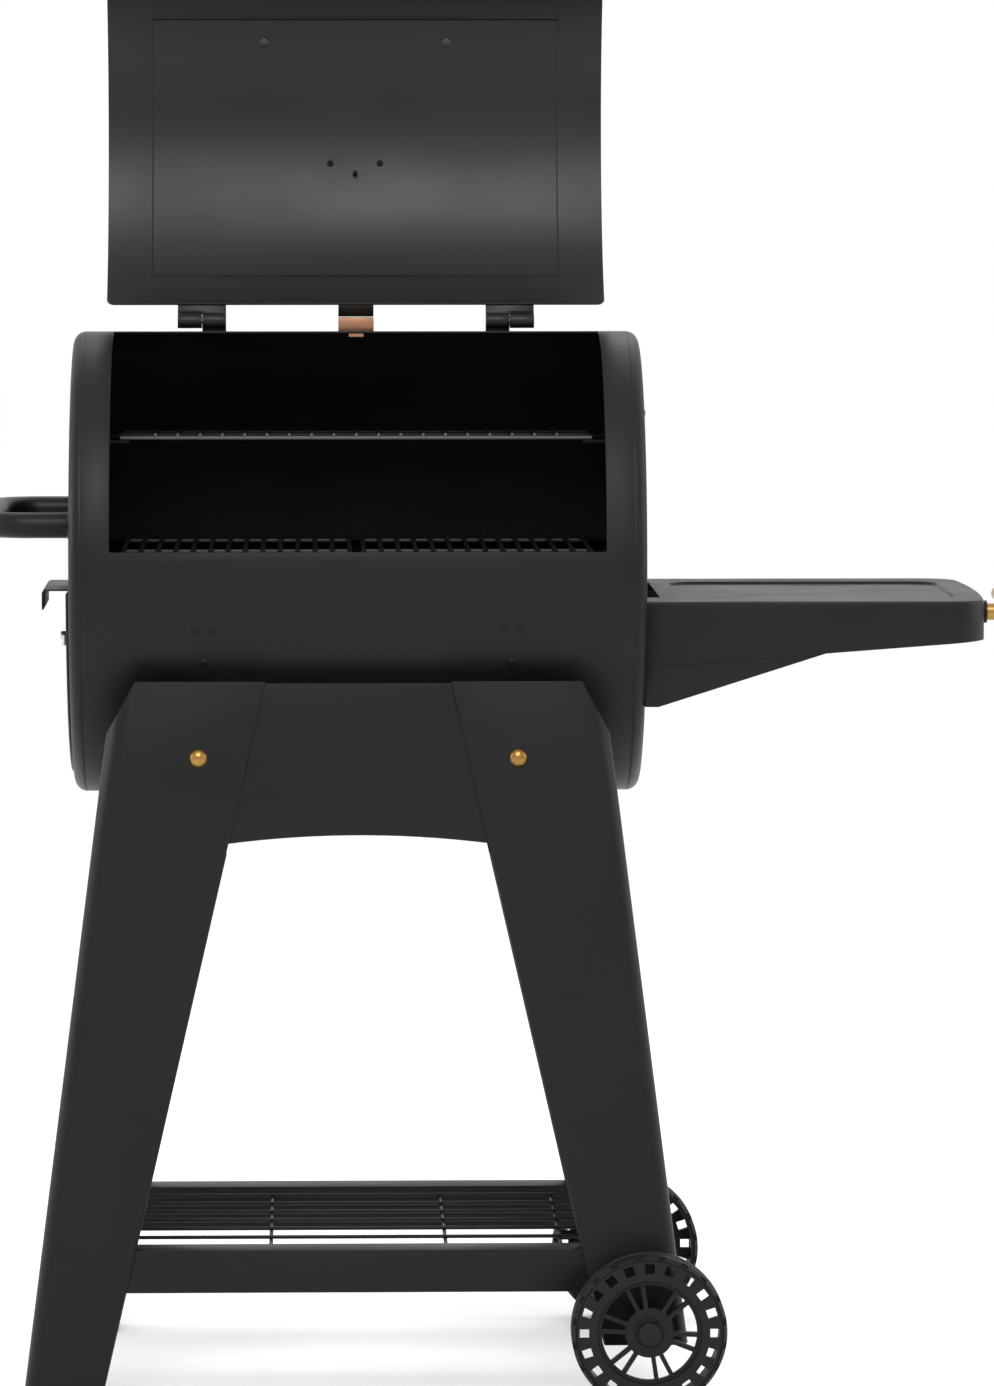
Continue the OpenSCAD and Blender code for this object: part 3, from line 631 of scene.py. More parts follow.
@dataclass(frozen=True)
class CookedEnamel(Finish):
    """Black enamel on rods, dulled by heat and ash."""

    colour: Colour
    ash: Colour = (0.13, 0.125, 0.12)
    roughness: float = 0.5

    def make(self) -> bpy.types.Material:
        """Build the material."""
        nodes = Nodes(self.name)
        cloud = nodes.noise(30.0, 5.0)
        colour = nodes.ramp(cloud,
                            [(0.42, self.colour), (0.62, shade(self.colour, 1.5)), (0.82, self.ash)])
        nodes.colour(colour)
        nodes.rough(cloud, self.roughness - 0.12, self.roughness + 0.2)
        nodes.bump(nodes.noise(260.0, 3.0), 0.25, 0.0003)
        return nodes.material


@dataclass(frozen=True)
class LitAndShadedRods(Finish):
    """Rods painted lighter on one side of a plane, as painted light, and darker on the other, as
    painted shade.
    """

    lit_tone: Colour
    axis: str
    plane: float
    past: float
    shaded_tone: Colour = (0.006, 0.0058, 0.0056)

    def make(self) -> bpy.types.Material:
        """Build the material."""
        nodes = Nodes(self.name)
        nodes.shader.inputs["Specular IOR Level"].default_value = 0.2
        cloud = nodes.noise(30.0, 4.0)
        split = nodes.add("ShaderNodeSeparateXYZ")
        nodes.link(nodes.where, split.inputs["Vector"])
        # Painted light where the coordinate is below the plane, painted shade past it.
        side = nodes.add("ShaderNodeMapRange")
        side.inputs["From Min"].default_value = self.plane
        side.inputs["From Max"].default_value = self.past
        nodes.link(split.outputs[self.axis], side.inputs["Value"])
        mix = nodes.add("ShaderNodeMix", data_type="RGBA", blend_type="MIX")
        nodes.link(side.outputs["Result"], mix.inputs["Factor"])
        mix.inputs["A"].default_value = (*self.lit_tone, 1)
        # The painted shade's tone, with a random mottle.
        soot = nodes.ramp(cloud, [(0.4, shade(self.shaded_tone, 0.8)), (0.8, shade(self.shaded_tone, 1.4))])
        nodes.link(soot, mix.inputs["B"])
        nodes.colour(mix.outputs["Result"])
        nodes.rough(cloud, 0.42, 0.66)
        nodes.bump(nodes.noise(260.0, 3.0), 0.2, 0.0003)
        return nodes.material


@dataclass(frozen=True)
class Moulded(Finish):
    """Moulded plastic or rubber with a fine leathery grain."""

    colour: Colour
    roughness: float = 0.5
    grain: float = 0.3
    dust: float = 0.2
    gloss: float = 0.25

    def make(self) -> bpy.types.Material:
        """Build the material."""
        nodes = Nodes(self.name)
        nodes.shader.inputs["Specular IOR Level"].default_value = self.gloss
        cloud = nodes.noise(16.0, 4.0)
        colour = nodes.ramp(cloud, [
            (0.35, shade(self.colour, 0.88)), (0.55, self.colour),
            (0.80, shade(self.colour, 1 + self.dust)),
        ])
        nodes.colour(colour)
        nodes.rough(cloud, self.roughness - 0.06, self.roughness + 0.1)
        cells = nodes.add("ShaderNodeTexVoronoi", Scale=700.0)
        nodes.link(nodes.where, cells.inputs["Vector"])
        nodes.bump(cells.outputs["Distance"], self.grain, 0.00015)
        return nodes.material


@dataclass(frozen=True)
class ClearGlass(Finish):
    """A thin clear glass over a dial."""

    def make(self) -> bpy.types.Material:
        """Build the material."""
        nodes = Nodes(self.name)
        nodes.shader.inputs["Transmission Weight"].default_value = 1.0
        nodes.shader.inputs["IOR"].default_value = 1.45
        smear = nodes.noise(45.0, 3.0)
        nodes.rough(smear, 0.02, 0.09)
        nodes.colour(nodes.ramp(smear, [(0.3, (0.96, 0.97, 0.97)), (0.7, (1, 1, 1))]))
        return nodes.material


@dataclass(frozen=True)
class PaleFloor(Finish):
    """A plain pale studio floor."""

    colour: Colour = (0.985, 0.985, 0.985)

    def make(self) -> bpy.types.Material:
        """Build the material."""
        nodes = Nodes(self.name)
        cloud = nodes.noise(3.0, 2.0)
        nodes.colour(nodes.ramp(cloud, [(0.3, shade(self.colour, 0.99)), (0.7, self.colour)]))
        nodes.shader.inputs["Roughness"].default_value = 0.8
        return nodes.material


# The height below which the grates' cross rods get painted light, with painted shade on the bars above.
GRATE_UNDERSIDE = 0.8838
# The depth in front of which the warming rack's rod gets painted light, with painted shade on the rods
# behind.
RACK_FRONT = 0.0134

CHARCOAL_PAINT = BakedPaint("charcoal_paint", (0.0042, 0.0044, 0.0048))
LID_PAINT = BakedPaint("lid_paint", (0.0030, 0.0031, 0.0033), roughness=0.40, gloss=0.3)
SATIN_PAINT = BakedPaint("satin_paint", (0.0030, 0.0030, 0.0032), roughness=0.4, grain=0.25)
HINGE_PAINT = BakedPaint("hinge_paint", (0.0080, 0.0083, 0.0088), roughness=0.38)
SOOT = BakedPaint("soot", (0.0070, 0.0068, 0.0066), roughness=0.72, grain=0.5, blotch=0.3, gloss=0.12)
SOOTED_STEEL = BrushedMetal("sooted_steel", (0.055, 0.053, 0.05), roughness=0.45, tarnish=0.25)
GAUGE_STUB = Moulded("gauge_stub", (0.0035, 0.0035, 0.0035), roughness=0.6, gloss=0.1)
PLAIN_STEEL = BrushedMetal("plain_steel", (0.60, 0.60, 0.61), roughness=0.32)
ROUND_STEEL = BrushedMetal("turned_steel", (0.62, 0.62, 0.63), roughness=0.26, lines=(40.0, 1.0, 40.0))
COPPER = BrushedMetal("brushed_copper", (0.33, 0.170, 0.098), roughness=0.40)
GOLD = BrushedMetal("gold_plate", (0.31, 0.175, 0.052), roughness=0.30, tarnish=0.06)
ENAMEL = CookedEnamel("cooked_enamel", (0.010, 0.0098, 0.0096), (0.05, 0.048, 0.046))
# Painted light on the grates' cross rods under the bars, painted shade on the bars' tops.
COOKING_RODS = LitAndShadedRods("cooking_rods", (0.06, 0.06, 0.06), "Z", GRATE_UNDERSIDE,
                           GRATE_UNDERSIDE + 0.0004)
# Painted light on the warming rack's front rod, painted shade on the rods behind it.
RACK_WIRE = LitAndShadedRods("rack_wire", (0.09, 0.09, 0.09), "Y", RACK_FRONT, RACK_FRONT + 0.0004)
WHEEL_PLASTIC = Moulded("moulded_wheel", (0.0045, 0.0045, 0.0049), roughness=0.48, gloss=0.2)
TREAD = Moulded("tread_plastic", (0.0035, 0.0035, 0.0038), roughness=0.6, grain=0.5)
FOOT_RUBBER = Moulded("pad_rubber", (0.0035, 0.0035, 0.0035), roughness=0.75, grain=0.5)
GRIP = Moulded("grip", (0.0035, 0.0035, 0.0038), roughness=0.42, grain=0.2)
DIAL_WHITE = Moulded("dial_white", (0.82, 0.82, 0.80), roughness=0.35, grain=0.0, dust=0.03)
DIAL_INK = Moulded("dial_ink", (0.02, 0.02, 0.02), roughness=0.5, grain=0.0)
DIAL_RED = Moulded("dial_red", (0.62, 0.03, 0.02), roughness=0.35, grain=0.0, dust=0.05)
GLASS = ClearGlass("dial_glass")


# --------------------------------------------------------------------------- assembly


@dataclass
class Assembly:
    """A group of pieces that are modelled about the barrel's axis and then set in place."""

    axis: Vector

    def dress(
        self, obj: Object, name: str, body: str, slot: str, finish: Finish,
        nodes: Sequence[str] = (), smooth_angle: float = 32.0, placed: bool = False,
    ) -> Object:
        """Name a piece, put it in its place and give it its body, slot and finish.

        Args:
            obj: The modelled piece, about the barrel's axis.
            name: The piece's name.
            body: The body that it moves with.
            slot: Not used.
            finish: What it is made of.
            nodes: The CAD nodes that it stands for.
            smooth_angle: Edges sharper than this stay crisp, in degrees.
            placed: Whether the piece already lies where it belongs.

        Returns:
            The finished piece.
        """
        if not placed:
            obj.location = obj.location + self.axis
        settle(obj)
        obj.name = name
        obj.data.name = name
        smooth(obj, smooth_angle)
        obj.data.materials.clear()
        obj.data.materials.append(finish.material())
        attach(obj, body)
        if nodes:
            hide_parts(*nodes)
        log.info("%s: %d faces on %s", name, len(obj.data.polygons), body)
        return obj

    def dress_node(self, node: str, body: str, slot: str, finish: Finish,
                   width: float = 0.0006) -> Object:
        """Stand an edge-rounded copy in for a CAD node.

        Args:
            node: The CAD node.
            body: The body that it moves with.
            slot: The material slot's name.
            finish: What it is made of.
            width: How wide its edge roundings are.

        Returns:
            The finished piece.
        """
        made = eased_copy(node, width)
        return self.dress(made, f"{node}_eased", body, slot, finish, [node], placed=True)

    def soot(self, piece: Object, inside: Callable[[Vector, Vector], bool]) -> None:
        """Blacken the faces of a finished piece that look into the fire.

        Args:
            piece: The piece.
            inside: Tells from a face's centre, about the barrel's axis, and its normal.
        """
        piece.data.materials.append(SOOT.material())
        for face in piece.data.polygons:
            if inside(face.center - self.axis, face.normal):
                face.material_index = 1

    def paint_node(self, node: str, finish: Finish) -> None:
        """Keep a CAD node as it is and give it a finish."""
        piece = bpy.data.objects[node]
        piece.data.materials.clear()
        piece.data.materials.append(finish.material())
        log.info("%s: CAD shape kept", node)


def on_ring(degrees: float, radius: float, x: float = 0.0) -> Point:
    """A point of the barrel's section, at an angle above the front horizontal."""
    angle = math.radians(degrees)
    return (x, -radius * math.cos(angle), radius * math.sin(angle))


def outward(degrees: float, x: float = 0.0) -> Matrix:
    """Where a piece made on the origin goes, so that its +Z points out of the barrel."""
    return Matrix.Rotation(math.radians(90 - degrees), 4, "X") @ Matrix.Translation((x, 0, 0))


def half_moon(radius: float, top: float, x: float, steps: int = 56) -> list[Point]:
    """The outline of a disc cut off flat at the top, square to the barrel.

    Args:
        radius: The disc's radius.
        top: The height of the flat.
        x: Where the outline stands along the barrel.
        steps: How many edges the arc has.

    Returns:
        The outline's points, from the flat's back end round the bottom to its front end.
    """
    start = math.asin(top / radius)
    sweep_angle = math.pi + 2 * start
    return [
        (x, radius * math.cos(start - sweep_angle * k / steps),
         radius * math.sin(start - sweep_angle * k / steps))
        for k in range(steps + 1)
    ]


def arc(centre: tuple[float, float], radius: float, start: float, end: float,
        steps: int) -> list[tuple[float, float]]:
    """Points along an arc in a plane.

    Args:
        centre: The arc's centre.
        radius: Its radius.
        start: The angle of its first point, in degrees.
        end: The angle of its last point.
        steps: How many edges it has.

    Returns:
        The points, in order.
    """
    angles = [math.radians(start + (end - start) * k / steps) for k in range(steps + 1)]
    return [(centre[0] + radius * math.cos(a), centre[1] + radius * math.sin(a)) for a in angles]


def turned(profile: Sequence[tuple[float, float]], steps: int = 48) -> Object:
    """A round piece turned about Z from pairs of radius and height.

    Args:
        profile: The pairs, from the bottom of the axis to the top of it.
        steps: How many faces go round.

    Returns:
        The new object, closed and with outward faces.
    """
    return turn([(r, 0.0, z) for r, z in profile], (0, 0, 1), (0, 0, 0), FULL_TURN, steps)


def pan_head(radius: float, height: float, slot: float) -> Object:
    """A screw's low domed head with a cross recess, standing on the origin.

    Args:
        radius: The head's radius.
        height: The head's height.
        slot: The half-length of the cross.

    Returns:
        The head.
    """
    head = turned([(0, 0), (radius, 0), (radius, 0.35 * height), (0.86 * radius, 0.75 * height),
                   (0.5 * radius, 0.95 * height), (0, height)], 24)
    across = box((0, 0, height), (2 * slot, 0.45 * slot, 0.9 * height))
    along = box((0, 0, height), (0.45 * slot, 2 * slot, 0.9 * height))
    carve(head, across)
    return carve(head, along)


@dataclass
class Barrel(Assembly):
    """The barrel's shell, its end caps, its screws and the flue damper."""

    radius: float = 0.247
    half_length: float = 0.3025
    rim: float = 0.013
    sheet: float = 0.002
    opening_half: float = 0.2595
    opening_front: float = 5.5
    opening_rear: float = 91.5
    lap: float = 0.012
    drawer_hole_radius: float = 0.220
    drawer_hole_top: float = -0.022
    flue: tuple[float, float] = (-0.062, 0.125)
    vent_radius: float = 0.008
    vent_ring: float = 0.028
    screw_places: tuple[tuple[float, float], ...] = ((0.1525, -13.6), (0.170, -13.6), (0.161, -22.1))

    def build(self) -> None:
        """Build and dress the barrel."""
        self.shell()
        self.caps()
        self.screws()
        self.damper()
        self.inside()

    def shell(self) -> None:
        """Roll the sheet round and open its front and top."""
        mid = self.radius - self.sheet / 2
        end = self.half_length - self.rim
        half = self.opening_half
        stations = (-end, -half, -half / 2, 0.0, half / 2, half, end)
        span = self.opening_rear - self.opening_front
        front = [on_ring(self.opening_front, mid, x) for x in stations]
        back = [on_ring(self.opening_rear, mid, x) for x in stations]
        open_side = turn(front, (1, 0, 0), (0, 0, 0), math.radians(span), 30)
        closed_side = turn(back, (1, 0, 0), (0, 0, 0), math.radians(360 - span), 96)
        pick(open_side, Part.FACES, lambda c, n: abs(c.x) < half)
        bpy.ops.mesh.delete(type="FACE")
        shell = join([closed_side, open_side])
        pick_all(shell)
        bpy.ops.mesh.remove_doubles(threshold=WELD)
        bpy.ops.mesh.normals_make_consistent(inside=False)
        thicken(shell, self.sheet)
        ease(shell, 0.0005)
        self.dress(shell, "barrel_skin", "frame", "barrel_paint", CHARCOAL_PAINT, ["barrel_shell"], 25)
        self.soot(shell, lambda c, n: math.hypot(c.y, c.z) < self.radius - 0.9 * self.sheet)

    def cap(self) -> Object:
        """Press one end cap, for the right end.

        Returns:
            The cap, with its wall.
        """
        edge = arc((self.half_length - self.rim, self.radius - self.rim), self.rim - self.sheet / 2, 0,
                   90, 10)
        inner = self.radius - 1.5 * self.sheet - 0.0001
        seam = self.half_length - self.rim
        profile = [(self.half_length - self.sheet / 2, 0.0), (self.half_length - self.sheet / 2, 0.12),
                   *edge,
                   (seam - 0.0006, self.radius - 0.0012), (seam - 0.0012, inner),
                   (seam - self.lap, inner)]
        cap = turn([(x, 0.0, r) for x, r in profile], (1, 0, 0), (0, 0, 0), FULL_TURN, 120)
        return thicken(cap, self.sheet)

    def caps(self) -> None:
        """Press both end caps and cut the drawer's hole and the flue's vents."""
        right = self.cap()
        left = mirrored(right, "X")
        hole = plate(half_moon(self.drawer_hole_radius, self.drawer_hole_top, -self.half_length - PAST),
                     (3 * PAST, 0, 0))
        carve(left, hole)
        ease(left, 0.0004)
        for k in range(VENTS):
            angle = FULL_TURN * k / VENTS
            y = self.flue[0] - self.vent_ring * math.sin(angle)
            z = self.flue[1] + self.vent_ring * math.cos(angle)
            carve(right, rod((self.half_length - PAST, y, z), (self.half_length + PAST, y, z),
                             self.vent_radius, 24))
        deep = self.half_length - self.sheet
        for cap, name in ((left, "left"), (right, "right")):
            self.dress(cap, f"{name}_end", "frame", "barrel_paint", CHARCOAL_PAINT, [f"{name}_end_cap"],
                       25)
            self.soot(cap, lambda c, n: abs(c.x) < deep + 1e-4 and n.x * c.x < -1e-6 and c.length > 0)

    def screws(self) -> None:
        """Drive the small cross-head screws on the barrel's front and back."""
        head = pan_head(0.0045, 0.0016, 0.0022)
        heads = []
        for back in (1, -1):
            for side in (1, -1):
                for x, degrees in self.screw_places:
                    place = Matrix.Diagonal((1, back, 1, 1)) @ outward(degrees, side * x)
                    heads.append(copied(head, place @ Matrix.Translation((0, 0, self.radius))))
                    tip = turned([(0, 0), (0.0016, 0.0002), (0.0023, 0.0012), (0.0023, 0.0042),
                                  (0, 0.0042)], 16)
                    heads.append(copied(tip, place @ Matrix.Translation((0, 0, self.radius - 0.006))))
                    discard(tip)
        discard(head)
        self.dress(join(heads), "barrel_screw_heads", "frame", "satin_black", SATIN_PAINT,
                   ["barrel_screws"], 30)

    def damper(self) -> None:
        """Dress the flue's damper and its rivet."""
        self.dress_node("exhaust_damper", "exhaust", "satin_black", SATIN_PAINT, 0.0003)
        rivet = turned([(0, 0), (0.008, 0), (0.008, 0.0008), (0.0066, 0.0021), (0.0035, 0.0029),
                        (0, 0.003)], 32)
        place = Matrix.Translation((self.half_length + 0.0019, *self.flue)) @ Matrix.Rotation(
            QUARTER_TURN, 4, "Y")
        head = copied(rivet, place)
        discard(rivet)
        self.dress(head, "flue_rivet", "exhaust", "bare_steel", PLAIN_STEEL, ["exhaust_rivet"])

    def inside(self) -> None:
        """Dress the ledges, the drawer's rails and the rack's brackets."""
        for node in ("grate_ledges", "drawer_rails", "rack_brackets"):
            self.dress_node(node, "frame", "satin_black", SOOT, 0.0004)


@dataclass
class Lid(Assembly):
    """The open lid with its hinges, handle and thermometer, modelled closed and swung open."""

    inner: float = 0.2475
    sheet: float = 0.002
    width: float = 0.537
    front: float = 3.75
    rear: float = 93.25
    corner: float = 0.008
    panel_side: float = 0.0475
    panel_margin: float = 10.2
    panel_step: float = 0.0008
    pin: tuple[float, float] = (0.030, 0.2575)
    open_angle: float = 140.0
    bolt_angle: float = 20.2
    bolt_x: float = 0.099
    grip_radius: float = 0.011
    grip_out: float = 0.045
    gauge_angle: float = 53.8
    gauge_radius: float = 0.032
    gauge_depth: float = 0.016
    gauge_screws: tuple[float, float] = (51.1, 0.027)

    def swing(self, obj: Object) -> Object:
        """Swing a closed piece open about the hinge pins."""
        hinge = Matrix.Translation((0, self.pin[0], self.pin[1]))
        turn_open = Matrix.Rotation(math.radians(-self.open_angle), 4, "X")
        obj.matrix_world = hinge @ turn_open @ hinge.inverted() @ obj.matrix_world
        return settle(obj)

    def set_in(self, parts: Sequence[Object], name: str, slot: str, finish: Finish,
               nodes: Sequence[str],
               body: str = "lid", angle: float = 32.0) -> None:
        """Swing finished parts open and dress them as one piece of the lid.

        Args:
            parts: The parts, as on the closed lid.
            name: The piece's name.
            slot: The material slot's name.
            finish: What it is made of.
            nodes: The CAD nodes it stands for.
            body: The body that it moves with.
            angle: Edges sharper than this stay crisp, in degrees.
        """
        whole = join(parts)
        self.dress(self.swing(whole), name, body, slot, finish, nodes, angle)

    def build(self) -> None:
        """Build and dress the lid."""
        self.skin()
        self.hinges()
        self.handle()
        self.thermometer()

    def skin(self) -> None:
        """Roll the lid's sheet, press its panel and round its corners."""
        mid = self.inner + self.sheet / 2
        half = self.width / 2
        inset = half - self.panel_side
        stations = (-half, -inset, -0.5 * inset, 0.0, 0.5 * inset, inset, half)
        low, high = self.front + self.panel_margin, self.rear - self.panel_margin
        bands = [(self.front, low, 5), (low, high, 34), (high, self.rear, 5)]
        strips = [
            turn([on_ring(a, mid, x) for x in stations], (1, 0, 0), (0, 0, 0), math.radians(b - a),
                 steps)
            for a, b, steps in bands
        ]
        skin = join(strips)
        pick_all(skin)
        bpy.ops.mesh.remove_doubles(threshold=WELD)
        bpy.ops.mesh.normals_make_consistent(inside=False)
        take(skin)
        self.face_out(skin)
        corners = [Vector(on_ring(a, mid, s * half)) for a in (self.front, self.rear) for s in (-1, 1)]
        pick(skin, Part.VERTS, lambda c, n: any((c - k).length < 1e-4 for k in corners))
        bpy.ops.mesh.bevel(offset=self.corner, segments=7, affect="VERTICES")

        def in_panel(c: Vector, n: Vector) -> bool:
            angle = math.degrees(math.atan2(c.z, -c.y))
            return abs(c.x) < inset and low < angle < high

        pick(skin, Part.FACES, in_panel)
        bpy.ops.mesh.inset(thickness=0.0012, depth=0)
        bpy.ops.transform.shrink_fatten(value=self.panel_step)
        bpy.ops.mesh.inset(thickness=0.0008, depth=0)
        thicken(skin, self.sheet)
        ease(skin, 0.0004, 2, 30)
        self.set_in([skin], "lid_skin", "barrel_paint", LID_PAINT, ["lid_shell"], angle=20)

    def face_out(self, obj: Object) -> None:
        """Turn a rolled sheet's faces away from the barrel's axis."""
        first = obj.data.polygons[len(obj.data.polygons) // 2]
        if first.normal.dot(Vector((0, first.center.y, first.center.z))) < 0:
            pick_all(obj)
            bpy.ops.mesh.flip_normals()
            take(obj)

    def hinges(self) -> None:
        """Dress the hinges, their pins and the lid's stop."""
        self.dress_node("hinge_lid_leaves", "lid", "barrel_paint", HINGE_PAINT, 0.0005)
        self.dress_node("hinge_barrel_leaves", "frame", "satin_black", HINGE_PAINT, 0.0005)
        self.dress_node("hinge_pins", "lid", "bare_steel", PLAIN_STEEL, 0.0006)
        self.dress_node("lid_stop_tab", "lid", "satin_black", SATIN_PAINT, 0.0004)
        self.dress_node("lid_stop_bracket", "frame", "copper", COPPER, 0.0006)
        self.dress_node("stop_backing_plate", "frame", "copper", COPPER, 0.0004)

    def under(self) -> Matrix:
        """From the lid's closed face to its inside, for a head that points inwards."""
        return Matrix.Translation((0, 0, self.inner + self.panel_step)) @ Matrix.Rotation(math.pi, 4,
                                                                                          "X")

    def handle(self) -> None:
        """Turn the lid handle's posts, its bar and its bolts."""
        face = self.inner + self.sheet + self.panel_step
        post = turned([(0, 0), (0.010, 0), (0.010, 0.0028), (0.0085, 0.004), (0.0072, 0.0052),
                       (0.0066, 0.012),
                       (0.0062, 0.022), (0.0068, 0.036), (0.0068, self.grip_out - 0.006),
                       (0, self.grip_out - 0.006)])
        bar_end = 0.129
        bar = turned([(0, -bar_end - 0.003), (0.0075, -bar_end - 0.003), (0.009, -bar_end - 0.0015),
                      (0.009, -bar_end), (0.0105, -bar_end), (self.grip_radius, -bar_end + 0.001),
                      (self.grip_radius, -0.108), (0.0104, -0.1075), (0.0104, -0.0905),
                      (self.grip_radius, -0.090),
                      (self.grip_radius, 0.090), (0.0104, 0.0905), (0.0104, 0.1075),
                      (self.grip_radius, 0.108),
                      (self.grip_radius, bar_end - 0.001), (0.0105, bar_end), (0.009, bar_end),
                      (0.009, bar_end + 0.0015), (0.0075, bar_end + 0.003), (0, bar_end + 0.003)])
        bolt = pan_head(0.0055, 0.003, 0.003)
        posts, bolts = [], []
        for side in (-1, 1):
            place = outward(self.bolt_angle, side * self.bolt_x)
            posts.append(copied(post, place @ Matrix.Translation((0, 0, face))))
            bolts.append(copied(bolt, place @ self.under()))
        along = outward(self.bolt_angle) @ Matrix.Translation((0, 0, face + self.grip_out))
        grip = copied(bar, along @ Matrix.Rotation(QUARTER_TURN, 4, "Y"))
        discard(post, bar, bolt)
        self.set_in(posts, "handle_posts", "copper", COPPER, ["lid_handle_posts"])
        self.set_in([grip], "handle_grip", "satin_black", GRIP, ["lid_handle_bar"])
        self.set_in(bolts, "handle_bolt_heads", "bare_steel", SOOTED_STEEL, ["lid_handle_bolts"])

    def thermometer(self) -> None:
        """Make the thermometer's case, dial, marks, glass, needle and screws."""
        face = self.inner + self.sheet + self.panel_step
        out = outward(self.gauge_angle)
        up = out @ Matrix.Translation((0, 0, face))
        r, deep = self.gauge_radius, self.gauge_depth
        case = turned([(0, 0), (r - 0.004, 0), (r - 0.002, 0.001), (r - 0.0012, 0.004),
                       (r - 0.0012, deep - 0.006),
                       (r, deep - 0.005), (r, deep - 0.0015), (r - 0.001, deep), (r - 0.0035, deep),
                       (r - 0.0042, deep - 0.002), (r - 0.0042, 0.0062), (0, 0.0062)], 96)
        stem = turned([(0, -0.0104), (0.0016, -0.0102), (0.0025, -0.009), (0.0025, 0.002), (0, 0.002)],
                      24)
        dial = turned([(0, 0.0061), (r - 0.0044, 0.0061), (r - 0.0044, 0.0088), (0, 0.009)], 96)
        marks = []
        for k in range(31):
            long = k % 5 == 0
            size = (0.0011 if long else 0.0006, 0.0052 if long else 0.003, 0.0002)
            mark = box((0, r - 0.0075 - size[1] / 2, 0.00905), size)
            marks.append(copied(mark, Matrix.Rotation(math.radians(135 - 9 * k), 4, "Z")))
            discard(mark)
        ring = turned([(r - 0.0072, 0.00895), (r - 0.0068, 0.00895), (r - 0.0068, 0.00915),
                       (r - 0.0072, 0.00915),
                       (r - 0.0072, 0.00895)], 96)
        glass = turned([(0, deep - 0.0032), (r - 0.0043, deep - 0.0032), (r - 0.0043, deep - 0.0022),
                        (0, deep - 0.0018)], 96)
        hub = turned([(0, 0.0092), (0.003, 0.0092), (0.003, 0.0112), (0.0022, 0.0118), (0, 0.012)], 32)
        blade = plate([(-0.0009, -0.006, 0.0096), (0.0009, -0.006, 0.0096), (0.0007, 0.012, 0.0096),
                       (0.0001, r - 0.0105, 0.0096), (-0.0001, r - 0.0105, 0.0096),
                       (-0.0007, 0.012, 0.0096)],
                      (0, 0, 0.0009))
        screw = pan_head(0.0036, 0.0016, 0.0018)
        screws = []
        for side in (-1, 1):
            place = outward(self.gauge_screws[0], side * self.gauge_screws[1])
            screws.append(copied(screw, place @ self.under()))
        needle = [copied(hub, up), copied(blade, up @ Matrix.Rotation(math.radians(45), 4, "Z"))]
        shown, probe = [copied(case, up)], [copied(stem, up)]
        face_parts, ink, cover = [copied(dial, up)], [copied(m, up) for m in [*marks,
                                                                              ring]], [copied(glass,
                                                                                              up)]
        discard(case, stem, dial, ring, glass, hub, blade, screw, *marks)
        self.set_in(shown, "gauge_case", "bare_steel", ROUND_STEEL, ["thermometer_case"])
        self.set_in(probe, "gauge_stem", "bare_steel", GAUGE_STUB, [])
        self.set_in(face_parts, "gauge_dial", "dial_face", DIAL_WHITE, ["thermometer_dial"])
        self.set_in(ink, "gauge_marks", "dial_face", DIAL_INK, [])
        self.set_in(cover, "gauge_glass", "dial_face", GLASS, [])
        self.set_in(needle, "gauge_needle", "needle_red", DIAL_RED, ["thermometer_needle"],
                    body="needle")
        self.set_in(screws, "gauge_screw_heads", "bare_steel", GAUGE_STUB, ["thermometer_screws"])


